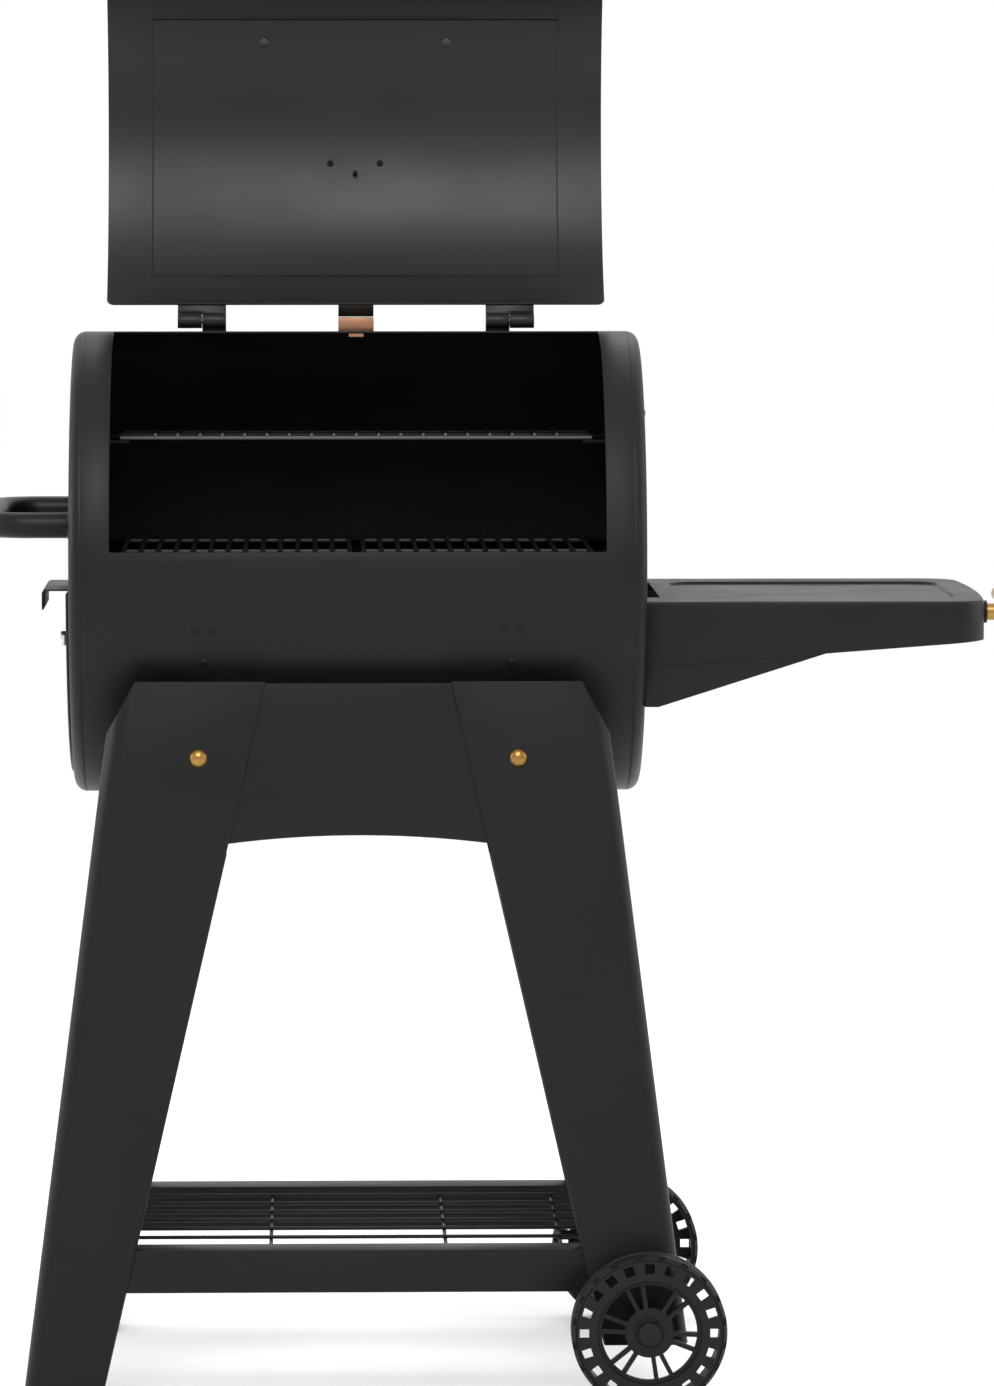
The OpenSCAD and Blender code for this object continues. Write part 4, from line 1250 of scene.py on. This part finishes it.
@dataclass
class SideShelf(Assembly):
    """The pressed shelf on the right, its brackets and the tool bar."""

    near: float = 0.3025
    reach: float = 0.366
    half: float = 0.198
    corner: float = 0.038
    bow: float = 0.006
    drop: float = 0.032
    sheet: float = 0.002
    apron_near: float = 0.0689
    apron_far: float = 0.0416
    recess_depth: float = 0.003
    recess_half: float = 0.141
    recess_near: float = 0.0395
    recess_far: float = 0.032
    recess_corner: float = 0.034
    notch_depth: float = 0.0185
    notch_half: float = 0.125
    bolt_heights: tuple[float, float] = (-0.056, -0.122)

    def build(self) -> None:
        """Build and dress the shelf."""
        self.top()
        self.dress_node("shelf_brackets", "frame", "barrel_paint", CHARCOAL_PAINT, 0.0006)
        self.bolts()
        self.bar()

    def outline(self, x0: float, x1: float, half: float, corners: tuple[float, float], bow: float,
                z: float) -> list[Point]:
        """A rounded outline with its far side bowed out.

        Args:
            x0: The near side.
            x1: The far side at its corners.
            half: Half of its width.
            corners: The near and the far corners' radii.
            bow: How far the middle of the far side stands out.
            z: The outline's height.

        Returns:
            Its points, always as many, in order.
        """
        near, far = corners
        straight = half - far
        points = arc((x1 - far, straight), far, 0, 90, 8)
        points += arc((x0 + near, half - near), near, 90, 180, 8)
        points += arc((x0 + near, near - half), near, 180, 270, 8)
        points += arc((x1 - far, -straight), far, 270, 360, 8)
        for k in range(1, 12):
            y = -straight + 2 * straight * k / 12
            points.append((x1 + bow * (1 - (y / straight) ** 2), y))
        return [(x, y, z) for x, y in points]

    def top(self) -> None:
        """Press the shelf's top with its recess, and fold its apron down."""
        z, end = -self.drop, self.near + self.reach
        rim = self.outline(self.near, end - self.bow, self.half, (0.0003, self.corner), self.bow, z)
        x0, x1 = self.near + self.recess_near, end - self.recess_far
        lip = self.outline(x0, x1, self.recess_half, (self.recess_corner, self.recess_corner), 0.0, z)
        step = 0.0022
        foot = self.outline(x0 + step, x1 - step, self.recess_half - step,
                            (self.recess_corner - step, self.recess_corner - step), 0.0,
                            z - self.recess_depth)
        loops = [line(rim, True), line(lip, True), line(foot, True)]
        take(loops[0])
        whole = join(loops)
        count = len(rim)
        bpy.ops.object.mode_set(mode="OBJECT")
        for pair in ((0, 1), (1, 2)):
            self.bridge(whole, pair, count)
        self.loop(whole, 2, count)
        bpy.ops.mesh.edge_face_add()
        self.loop(whole, 0, count)
        bpy.ops.mesh.extrude_region_move(TRANSFORM_OT_translate={"value": (0, 0, -0.08)})
        pick(whole, Part.FACES, lambda c, n: c.x < self.near + 0.0004 and c.z < z - 0.001)
        bpy.ops.mesh.delete(type="FACE")
        slope = (self.apron_near - self.apron_far) / self.reach
        cut(whole, (self.near, 0, z - self.apron_near), (slope, 0, -1))
        pick_all(whole)
        bpy.ops.mesh.normals_make_consistent(inside=False)
        take(whole)
        if max(whole.data.polygons, key=lambda f: f.area).normal.z < 0:
            pick_all(whole)
            bpy.ops.mesh.flip_normals()
        pick(whole, Part.EDGES, lambda c, n: abs(c.z - z) < 1e-5 and abs(n.z) < 1e-3
             and c.x > self.near + 0.0005 and self.on_rim(c))
        bpy.ops.mesh.bevel(offset=0.0035, segments=5, affect="EDGES")
        thicken(whole, self.sheet, -1.0)
        notch = box((self.near + self.notch_depth / 2 - 0.005, 0, z),
                    (self.notch_depth + 0.01, 2 * self.notch_half,
                                                                      0.012))
        carve(whole, notch)
        ease(whole, 0.0004, 2, 40)
        self.dress(whole, "shelf_pressing", "frame", "barrel_paint", CHARCOAL_PAINT, ["side_shelf"], 28)

    def on_rim(self, c: Vector) -> bool:
        """Whether a point of the top lies on its outer rim."""
        end = self.near + self.reach - self.bow
        if abs(c.y) > self.half - 0.0006:
            return True
        past = c.x - (end - self.corner)
        if past > 0 and abs(c.y) > self.half - self.corner:
            return math.hypot(past, abs(c.y) - self.half + self.corner) > self.corner - 0.0012
        return c.x > end - 0.0008

    def loop(self, obj: Object, index: int, count: int) -> None:
        """Pick one of the drawn outlines, in edit mode."""
        take(obj)
        bpy.ops.object.mode_set(mode="EDIT")
        bpy.ops.mesh.select_mode(type="EDGE")
        bpy.ops.mesh.select_all(action="DESELECT")
        self.add_loop(obj, index, count)

    def add_loop(self, obj: Object, index: int, count: int) -> None:
        """Add one of the drawn outlines to what is picked."""
        bpy.ops.object.mode_set(mode="OBJECT")
        first, last = index * count, (index + 1) * count
        for edge in obj.data.edges:
            edge.select = edge.select or all(first <= v < last for v in edge.vertices)
        bpy.ops.object.mode_set(mode="EDIT")

    def bridge(self, obj: Object, pair: tuple[int, int], count: int) -> None:
        """Join two of the drawn outlines with faces.

        Args:
            obj: The mesh that holds the outlines.
            pair: Which two.
            count: How many points each has.
        """
        self.loop(obj, pair[0], count)
        self.add_loop(obj, pair[1], count)
        bpy.ops.mesh.bridge_edge_loops()
        take(obj)

    def bolts(self) -> None:
        """Put hexagon bolts through the brackets and the end cap."""
        bolt_y = self.half - 2 * self.sheet - 0.0001 - 0.020
        heads = []
        for side in (-1, 1):
            for z in self.bolt_heights:
                for x, facing in ((self.near + self.sheet, 1), (self.near - self.sheet, -1)):
                    drop_all()
                    bpy.ops.mesh.primitive_cylinder_add(vertices=6, radius=0.0068, depth=0.004,
                                                        location=(x + facing * 0.002, side * bolt_y, z),
                                                        rotation=(0, QUARTER_TURN, 0))
                    heads.append(ease(settle(bpy.context.object), 0.0005))
        self.dress(join(heads), "shelf_bolt_heads", "frame", "satin_black", SATIN_PAINT,
                   ["shelf_bolts"])

    def bar(self) -> None:
        """Dress the gilt tool bar and its black rose."""
        self.paint_node("tool_bar", GOLD)
        self.dress_node("tool_bar_rose", "frame", "satin_black", SATIN_PAINT, 0.0005)


@dataclass
class PushHandle(Assembly):
    """The tube handle on the left end."""

    half_length: float = 0.3025
    half_width: float = 0.169
    height: float = 0.048
    radius: float = 0.0135

    def build(self) -> None:
        """Dress the tube and add its weld collars and bolts."""
        self.paint_node("push_handle", SATIN_PAINT)
        collar = turned([(self.radius - 0.0005, 0), (self.radius + 0.0030, 0),
                         (self.radius + 0.0022, 0.0012),
                         (self.radius + 0.0010, 0.0024), (self.radius - 0.0005, 0.0032),
                         (self.radius - 0.0005, 0)], 48)
        nut = turned([(0, 0), (0.008, 0), (0.008, 0.0036), (0.0068, 0.0046), (0.003, 0.005),
                      (0, 0.005)], 32)
        collars, nuts = [], []
        for side in (-1, 1):
            place = Matrix.Translation((-self.half_length, side * self.half_width, self.height))
            collars.append(copied(collar, place @ Matrix.Rotation(-QUARTER_TURN, 4, "Y")))
            inside = Matrix.Translation((-self.half_length + 0.002, side * self.half_width,
                                         self.height))
            nuts.append(copied(nut, inside @ Matrix.Rotation(QUARTER_TURN, 4, "Y")))
        discard(collar, nut)
        self.dress(join(collars), "handle_collars", "frame", "satin_black", SATIN_PAINT)
        self.dress(join(nuts), "handle_nuts", "frame", "bare_steel", PLAIN_STEEL, ["handle_bolts"])


@dataclass
class Legs(Assembly):
    """The four folded legs, the panels between them, the saddles, bolts and feet."""

    face: float = 0.252
    top: float = 0.111
    inner_top: float = 0.097
    outer_top: float = 0.2565
    inner_slope: float = 0.2302
    outer_slope: float = 0.128
    flange: float = 0.050
    bend: float = 0.016
    sheet: float = 0.002
    ground: float = -0.872
    pad: float = 0.008
    short_gap: float = 0.060
    chamfer: tuple[float, float] = (0.023, 0.058)
    arch: float = -0.2725
    beam_top: float = 0.162
    beam: float = 0.045
    bolt: tuple[float, float] = (0.167085, -0.1913)
    side_fold: float = 0.025
    fold_below_arch: float = 0.020
    bolt_radius: float = 0.010
    bolt_rise: float = 0.0065

    def build(self) -> None:
        """Build and dress the legs and what joins them."""
        long_leg, short_leg = self.leg(self.ground + self.pad), self.leg(self.ground + self.short_gap)
        pairs = ((short_leg, "", "front_right"), (short_leg, "Y", "rear_right"),
                 (long_leg, "X", "front_left"),
                 (long_leg, "XY", "rear_left"))
        for made, across, name in pairs:
            piece = mirrored(made, across)
            self.dress(piece, f"{name}_leg_fold", "frame", "barrel_paint", CHARCOAL_PAINT,
                       [f"{name}_leg"], 28)
        discard(long_leg, short_leg)
        for node in ("front_panel", "rear_panel", "front_beam", "rear_beam"):
            self.dress_node(node, "frame", "barrel_paint", CHARCOAL_PAINT, 0.0008)
        for node in ("left_saddle", "right_saddle"):
            self.dress_node(node, "frame", "satin_black", SATIN_PAINT, 0.0006)
        self.paint_node("bottom_wires", SATIN_PAINT)
        self.dress_node("foot_pads", "frame", "foot_rubber", FOOT_RUBBER, 0.0012)
        self.bolts()

    def inner(self, z: float) -> float:
        """How far out a leg's inner edge is at a height."""
        return self.inner_top + self.inner_slope * (-self.top - z)

    def leg(self, bottom: float) -> Object:
        """Fold one leg, for the front right.

        Args:
            bottom: The height of its lower end, from the barrel's axis.

        Returns:
            The leg, with its wall.
        """
        y = -self.face + self.sheet / 2
        length = -self.top - bottom
        reach = self.outer_slope * length
        r = self.bend - self.sheet / 2
        bend = arc((self.outer_top - self.bend, y + r), r, 270, 360, 8)
        back = -self.face + self.flange
        profile = [(self.inner_top - 0.03, y), *bend, (self.outer_top - self.sheet / 2, back)]
        leg = sweep([(x, yy, -self.top) for x, yy in profile], (reach, 0, -length))
        take(leg)
        edge = (self.inner_top, y, -self.top)
        cut(leg, edge, (-1, 0, -self.inner_slope))
        run, fall = self.chamfer
        cut(leg, (self.outer_top - run, y, -self.top), (fall, 0, run + self.outer_slope * fall))
        beam_low, beam_high = self.ground + self.beam_top - self.beam, self.ground + self.beam_top
        levels = (self.arch - self.fold_below_arch, beam_high + 0.0002, beam_low - 0.0002)
        for z in levels:
            scribe(leg, (0, 0, z), (0, 0, 1))

        def folded(c: Vector, n: Vector) -> bool:
            on_edge = abs(c.x - self.inner(c.z)) < 3e-4 and abs(c.y - y) < 1e-4
            return on_edge and abs(n.z) > 0.5 and (levels[1] < c.z < levels[0] or c.z < levels[2])

        pick(leg, Part.EDGES, folded)
        bpy.ops.mesh.extrude_region_move(TRANSFORM_OT_translate={"value": (0, self.side_fold, 0)})
        pick(leg, Part.EDGES, folded)
        bpy.ops.mesh.bevel(offset=0.003, segments=4, affect="EDGES")
        pick_all(leg)
        bpy.ops.mesh.normals_make_consistent(inside=False)
        thicken(leg, self.sheet)
        return ease(leg, 0.0005, 2, 40)

    def bolts(self) -> None:
        """Turn the gilt dome bolts and their nuts."""
        r, h = self.bolt_radius, self.bolt_rise
        sphere = (r * r + h * h) / (2 * h)
        start = math.degrees(math.acos(r / sphere))
        dome = arc((0, h - sphere), sphere, start, 90, 12)
        head = turned([(0, 0), (r - 0.0004, 0), *dome[:-1], (0, h)], 48)
        nut = turned([(0, 0), (0.007, 0), (0.007, 0.0044), (0.0062, 0.005), (0, 0.005)], 6)
        parts = []
        for front in (1, -1):
            for side in (1, -1):
                place = Matrix.Diagonal((1, front, 1, 1)) @ Matrix.Translation(
                    (side * self.bolt[0], -self.face, self.bolt[1]))
                parts.append(copied(head, place @ Matrix.Rotation(QUARTER_TURN, 4, "X")))
                behind = Matrix.Translation((0, 2 * self.sheet, 0)) @ Matrix.Rotation(-QUARTER_TURN, 4,
                                                                                      "X")
                parts.append(copied(nut, place @ behind))
        discard(head, nut)
        self.dress(join(parts), "dome_bolts", "frame", "brass_bolt", GOLD, ["leg_bolts"], 40)


@dataclass
class Wheel(Assembly):
    """The two moulded wheels, their treads, the axle and its caps."""

    x: float = 0.302948
    y: float = 0.285
    z: float = -0.7905
    radius: float = 0.0815
    width: float = 0.045
    tread: float = 0.0045
    rim_inner: float = 0.054
    window: float = 0.010
    windows: int = 20
    web: tuple[float, float] = (0.004, 0.010)
    face_depth: float = 0.008
    inner_lip: tuple[float, float] = (0.003, 0.016)
    hoop: float = 0.003
    window_in: float = 0.0088
    spoke: tuple[float, float] = (12.0, 9.4)
    hub: float = 0.015
    bore: float = 0.00605

    def build(self) -> None:
        """Build and dress both wheels and the axle."""
        wheel, tread = self.casting(), self.tyre()
        for name, side in (("front", -1), ("rear", 1)):
            move = Matrix.Translation((self.x, side * self.y, self.z)) @ Matrix.Diagonal((1, -side, 1,
                                                                                          1))
            body = f"{name}_wheel_body"
            self.dress(copied(wheel, move), f"{name}_wheel_casting", body, "wheel_plastic",
                       WHEEL_PLASTIC,
                       [f"{name}_wheel"], 30)
            self.dress(copied(tread, move), f"{name}_wheel_tread", body, "tyre_rubber", TREAD,
                       [f"{name}_tyre"], 30)
        discard(wheel, tread)
        self.paint_node("axle", ROUND_STEEL)
        self.dress_node("axle_spacers", "frame", "bare_steel", ROUND_STEEL, 0.0006)
        self.caps()

    def lathe(self, profile: Sequence[tuple[float, float]], steps: int) -> Object:
        """Turn a ring about the axle from pairs of radius and place across the wheel.

        Args:
            profile: The ring's closed section.
            steps: How many faces go round.

        Returns:
            The ring.
        """
        points = [(r, y, 0.0) for r, y in [*profile, profile[0]]]
        return turn(points, (0, 1, 0), (0, 0, 0), FULL_TURN, steps)

    def casting(self) -> Object:
        """Mould one wheel with its windows, spokes and hub.

        Returns:
            The wheel, about the origin, with its outer side towards -Y.
        """
        half = self.width / 2 - 0.0003
        out = self.radius - self.tread
        inn = self.rim_inner
        lip, deep = self.inner_lip
        rim = self.lathe([(inn, -half + 0.001), (inn + 0.001, -half), (out - 0.001, -half),
                          (out, -half + 0.001),
                          (out, half - 0.001), (out - 0.001, half), (out - self.hoop, half),
                          (out - self.hoop, self.face_depth - half),
                          (inn + lip, self.face_depth - half), (inn + lip, deep - half),
                          (inn, deep - half)], 120)
        middle = out - self.window_in
        for k in range(self.windows):
            hole = box((middle, 0, 0), (self.window, 2 * self.width, self.window))
            moved = copied(hole, Matrix.Rotation(FULL_TURN * k / self.windows, 4, "Y"))
            discard(hole)
            carve(rim, moved)
        hub = self.lathe([(self.bore, -half), (self.hub - 0.001, -half), (self.hub, -half + 0.001),
                          (self.hub + 0.001, 0.0), (self.hub, half - 0.001), (self.hub - 0.001, half),
                          (self.bore, half)], 48)
        face, thick = self.web[0] - half, self.web[1]
        collar = [(self.hub - 0.002, face), (0.025, face), (0.026, face + 0.001),
                  (0.026, face + thick - 0.001), (0.025, face + thick),
                  (self.hub - 0.002, face + thick)]
        ring = [(inn - 0.004, face + 0.001), (inn - 0.003, face), (inn + 0.001, face),
                (inn + 0.001, face + thick),
                (inn - 0.003, face + thick), (inn - 0.004, face + thick - 0.001)]
        parts = [rim, hub, self.lathe(collar, 48), self.lathe(ring, 96)]
        spoke = box(((self.hub + inn) / 2, face + thick / 2, 0),
                    (inn - self.hub, thick - 0.0004, 0.0046))
        ease(spoke, 0.0008)
        middle_angle, lean = self.spoke
        for k in range(WHEEL_SPOKE_PAIRS):
            for side in (-lean, lean):
                about = FULL_TURN * k / WHEEL_SPOKE_PAIRS + math.radians(middle_angle + side)
                place = Matrix.Rotation(about, 4, "Y")
                parts.append(copied(spoke, place))
        discard(spoke)
        return join(parts)

    def tyre(self) -> Object:
        """Mould one tread with a notch between each pair of windows.

        Returns:
            The tread, about the origin.
        """
        half = self.width / 2 - 0.0003
        r = self.radius
        tread = self.lathe([(r - self.tread, -half), (r - 0.003, -half), (r - 0.0008, -half + 0.003),
                            (r, -half + 0.0055), (r, -0.004), (r - 0.0012, -0.003), (r - 0.0012, 0.003),
                            (r, 0.004), (r, half - 0.0055), (r - 0.0008, half - 0.003),
                            (r - 0.003, half),
                            (r - self.tread, half)], 120)
        for k in range(self.windows):
            for across in (-1, 1):
                notch = box((r, across * half, 0), (0.007, 0.012, 0.0075))
                moved = copied(notch, Matrix.Rotation(FULL_TURN * (k + 0.5) / self.windows, 4, "Y"))
                discard(notch)
                carve(tread, moved)
        return tread

    def caps(self) -> None:
        """Mould the axle's end caps."""
        face = self.y + self.width / 2 + 0.0006
        cap = turned([(0.0062, 0), (0.0124, 0), (0.013, 0.0008), (0.013, 0.0045), (0.0118, 0.0066),
                      (0.0085, 0.0078),
                      (0.004, 0.008), (0, 0.008)], 48)
        caps = [
            copied(cap, Matrix.Translation((self.x, side * face, self.z)) @ Matrix.Rotation(
                -side * QUARTER_TURN, 4, "X"))
            for side in (-1, 1)
        ]
        discard(cap)
        self.dress(join(caps), "axle_end_caps", "frame", "wheel_plastic", WHEEL_PLASTIC, ["axle_caps"])


@dataclass
class CharcoalDrawer(Assembly):
    """The half-moon front on the left end, its pull, its damper and the pan behind it."""

    front: float = 0.3059
    radius: float = 0.226
    top: float = -0.020
    sheet: float = 0.002
    depth: float = 0.0029
    damper_z: float = -0.083
    vent_radius: float = 0.008
    vent_ring: float = 0.028

    def build(self) -> None:
        """Build and dress the drawer."""
        self.face()
        self.dress_node("drawer_tab", "charcoal_drawer", "barrel_paint", HINGE_PAINT, 0.0005)
        self.dress_node("charcoal_pan", "charcoal_drawer", "satin_black", SATIN_PAINT, 0.0003)
        self.paint_node("charcoal_grate", ENAMEL)
        self.dress_node("damper_disc", "drawer_damper", "satin_black", SATIN_PAINT, 0.0003)
        self.knob()

    def face(self) -> None:
        """Press the front with its turned rim and cut its vents."""
        outline = half_moon(self.radius, self.top, -self.front)
        face = plate(outline, (self.depth, 0, 0))
        pick(face, Part.FACES, lambda c, n: n.x > 0.9)
        bpy.ops.mesh.delete(type="ONLY_FACE")
        pick(face, Part.EDGES, lambda c, n: abs(c.x + self.front) < 1e-5)
        bpy.ops.mesh.bevel(offset=0.0022, segments=4, affect="EDGES")
        thicken(face, self.sheet, -1.0)
        for k in range(VENTS):
            angle = FULL_TURN * k / VENTS
            y, z = self.vent_ring * math.sin(angle), self.damper_z + self.vent_ring * math.cos(angle)
            carve(face, rod((-self.front - PAST, y, z), (-self.front + PAST, y, z), self.vent_radius,
                            24))
        ease(face, 0.0003, 2, 40)
        self.dress(face, "drawer_face", "charcoal_drawer", "barrel_paint", CHARCOAL_PAINT,
                   ["drawer_front"], 28)

    def knob(self) -> None:
        """Turn the damper's steel knob."""
        knob = turned([(0, -0.004), (0.00398, -0.004), (0.00398, 0.001), (0.0065, 0.001),
                       (0.0072, 0.0016),
                       (0.0058, 0.004), (0.0058, 0.0055), (0.0078, 0.0075), (0.008, 0.0085),
                       (0.008, 0.0115),
                       (0.0074, 0.0126), (0.005, 0.013), (0, 0.013)], 48)
        place = Matrix.Translation((-self.front, 0, self.damper_z)) @ Matrix.Rotation(-QUARTER_TURN, 4,
                                                                                      "Y")
        made = copied(knob, place)
        discard(knob)
        self.dress(made, "damper_pull", "drawer_damper", "bare_steel", PLAIN_STEEL, ["damper_knob"], 40)


@dataclass
class CookingSurface(Assembly):
    """The two grates and the warming rack."""

    def build(self) -> None:
        """Give the rods their finish."""
        # The grates carry painted light on their cross rods and painted shade on their bars.
        self.paint_node("left_grate", COOKING_RODS)
        self.paint_node("right_grate", COOKING_RODS)
        # The rack carries painted light on its front rod and painted shade behind it.
        self.paint_node("warming_rack", RACK_WIRE)


# --------------------------------------------------------------------------- studio


@dataclass
class Studio:
    """The floor, the lights and the camera."""

    camera_place: Point = (-0.2085, -7.698, 1.3347)
    camera_yaw: float = 1.5114
    camera_pitch: float = 4.4985
    lens: float = 185.9
    lights: tuple[tuple[str, Point, Point, float, float], ...] = (
        ("key", (-0.4, -3.6, 4.1), (-0.15, 0, 1.0), 2.6, 150),
        ("left_fill", (-3.4, 0.2, 1.6), (0, 0, 0.8), 2.2, 40),
        ("right_fill", (3.4, 0.2, 1.8), (0, 0, 0.8), 2.2, 40),
        ("back", (0.3, 2.6, 3.4), (0, 0, 0.6), 2.4, 20),
    )
    sky_strength: float = 1.03
    floor: PaleFloor = field(default_factory=lambda: PaleFloor("pale_floor"))

    def build(self) -> None:
        """Set up the floor, the lights and the camera."""
        self.ground()
        bpy.context.scene.view_settings.view_transform = "Standard"
        for lamp in self.lights:
            self.light(*lamp)
        world = bpy.context.scene.world or bpy.data.worlds.new("studio")
        bpy.context.scene.world = world
        world.use_nodes = True
        sky = world.node_tree.nodes["Background"]
        sky.inputs["Color"].default_value = (1, 1, 1, 1)
        sky.inputs["Strength"].default_value = self.sky_strength
        self.camera()

    def ground(self) -> None:
        """Lay the floor and curve it up behind."""
        wall = arc((FLOOR_REACH - FLOOR_CURVE, FLOOR_CURVE), FLOOR_CURVE, 270, 360, 24)
        section = [(-FLOOR_REACH, 0.0), *wall, (FLOOR_REACH, FLOOR_REACH)]
        floor = sweep([(-FLOOR_REACH, y, z) for y, z in section], (2 * FLOOR_REACH, 0, 0))
        take(floor)
        smooth(floor, 40)
        floor.name = "studio_floor"
        floor.data.materials.append(self.floor.material())

    def light(self, name: str, place: Point, aim: Point, size: float, power: float) -> None:
        """Hang a soft square light.

        Args:
            name: The light's name.
            place: Where it hangs.
            aim: What it points at.
            size: Its width.
            power: Its power in watts.
        """
        drop_all()
        bpy.ops.object.light_add(type="AREA", location=place)
        lamp = bpy.context.object
        lamp.name = name
        lamp.data.shape = "SQUARE"
        lamp.data.size = size
        lamp.data.energy = power
        lamp.rotation_mode = "QUATERNION"
        lamp.rotation_quaternion = (Vector(aim) - Vector(place)).to_track_quat("-Z", "Y")

    def camera(self) -> None:
        """Stand the camera in front, a little above the lid's handle."""
        drop_all()
        bpy.ops.object.camera_add(location=self.camera_place)
        camera = bpy.context.object
        camera.name = "front_camera"
        camera.data.lens = self.lens
        camera.data.sensor_width = 36
        camera.data.clip_start, camera.data.clip_end = 0.1, 100
        camera.rotation_mode = "XYZ"
        camera.rotation_euler = (math.radians(90 - self.camera_pitch), 0,
                                 math.radians(-self.camera_yaw))
        bpy.context.scene.camera = camera


def corners(pair: tuple[Vector, Vector]) -> list[list[float]]:
    """The two corners of a box as plain lists."""
    return [list(map(float, corner)) for corner in pair]


def main() -> None:
    """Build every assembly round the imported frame."""
    logging.basicConfig(level=logging.INFO, format="%(name)s: %(message)s")
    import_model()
    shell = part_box("barrel_shell")
    axis = Vector(((shell[0].x + shell[1].x) / 2, 0, shell[0].z + Barrel.radius))
    for kind in (Barrel, Lid, SideShelf, PushHandle, Legs, Wheel, CharcoalDrawer, CookingSurface):
        log.info("building %s", kind.__name__)
        kind(axis).build()
    Studio().build()
    drop_all()


if __name__ == "__main__":
    main()
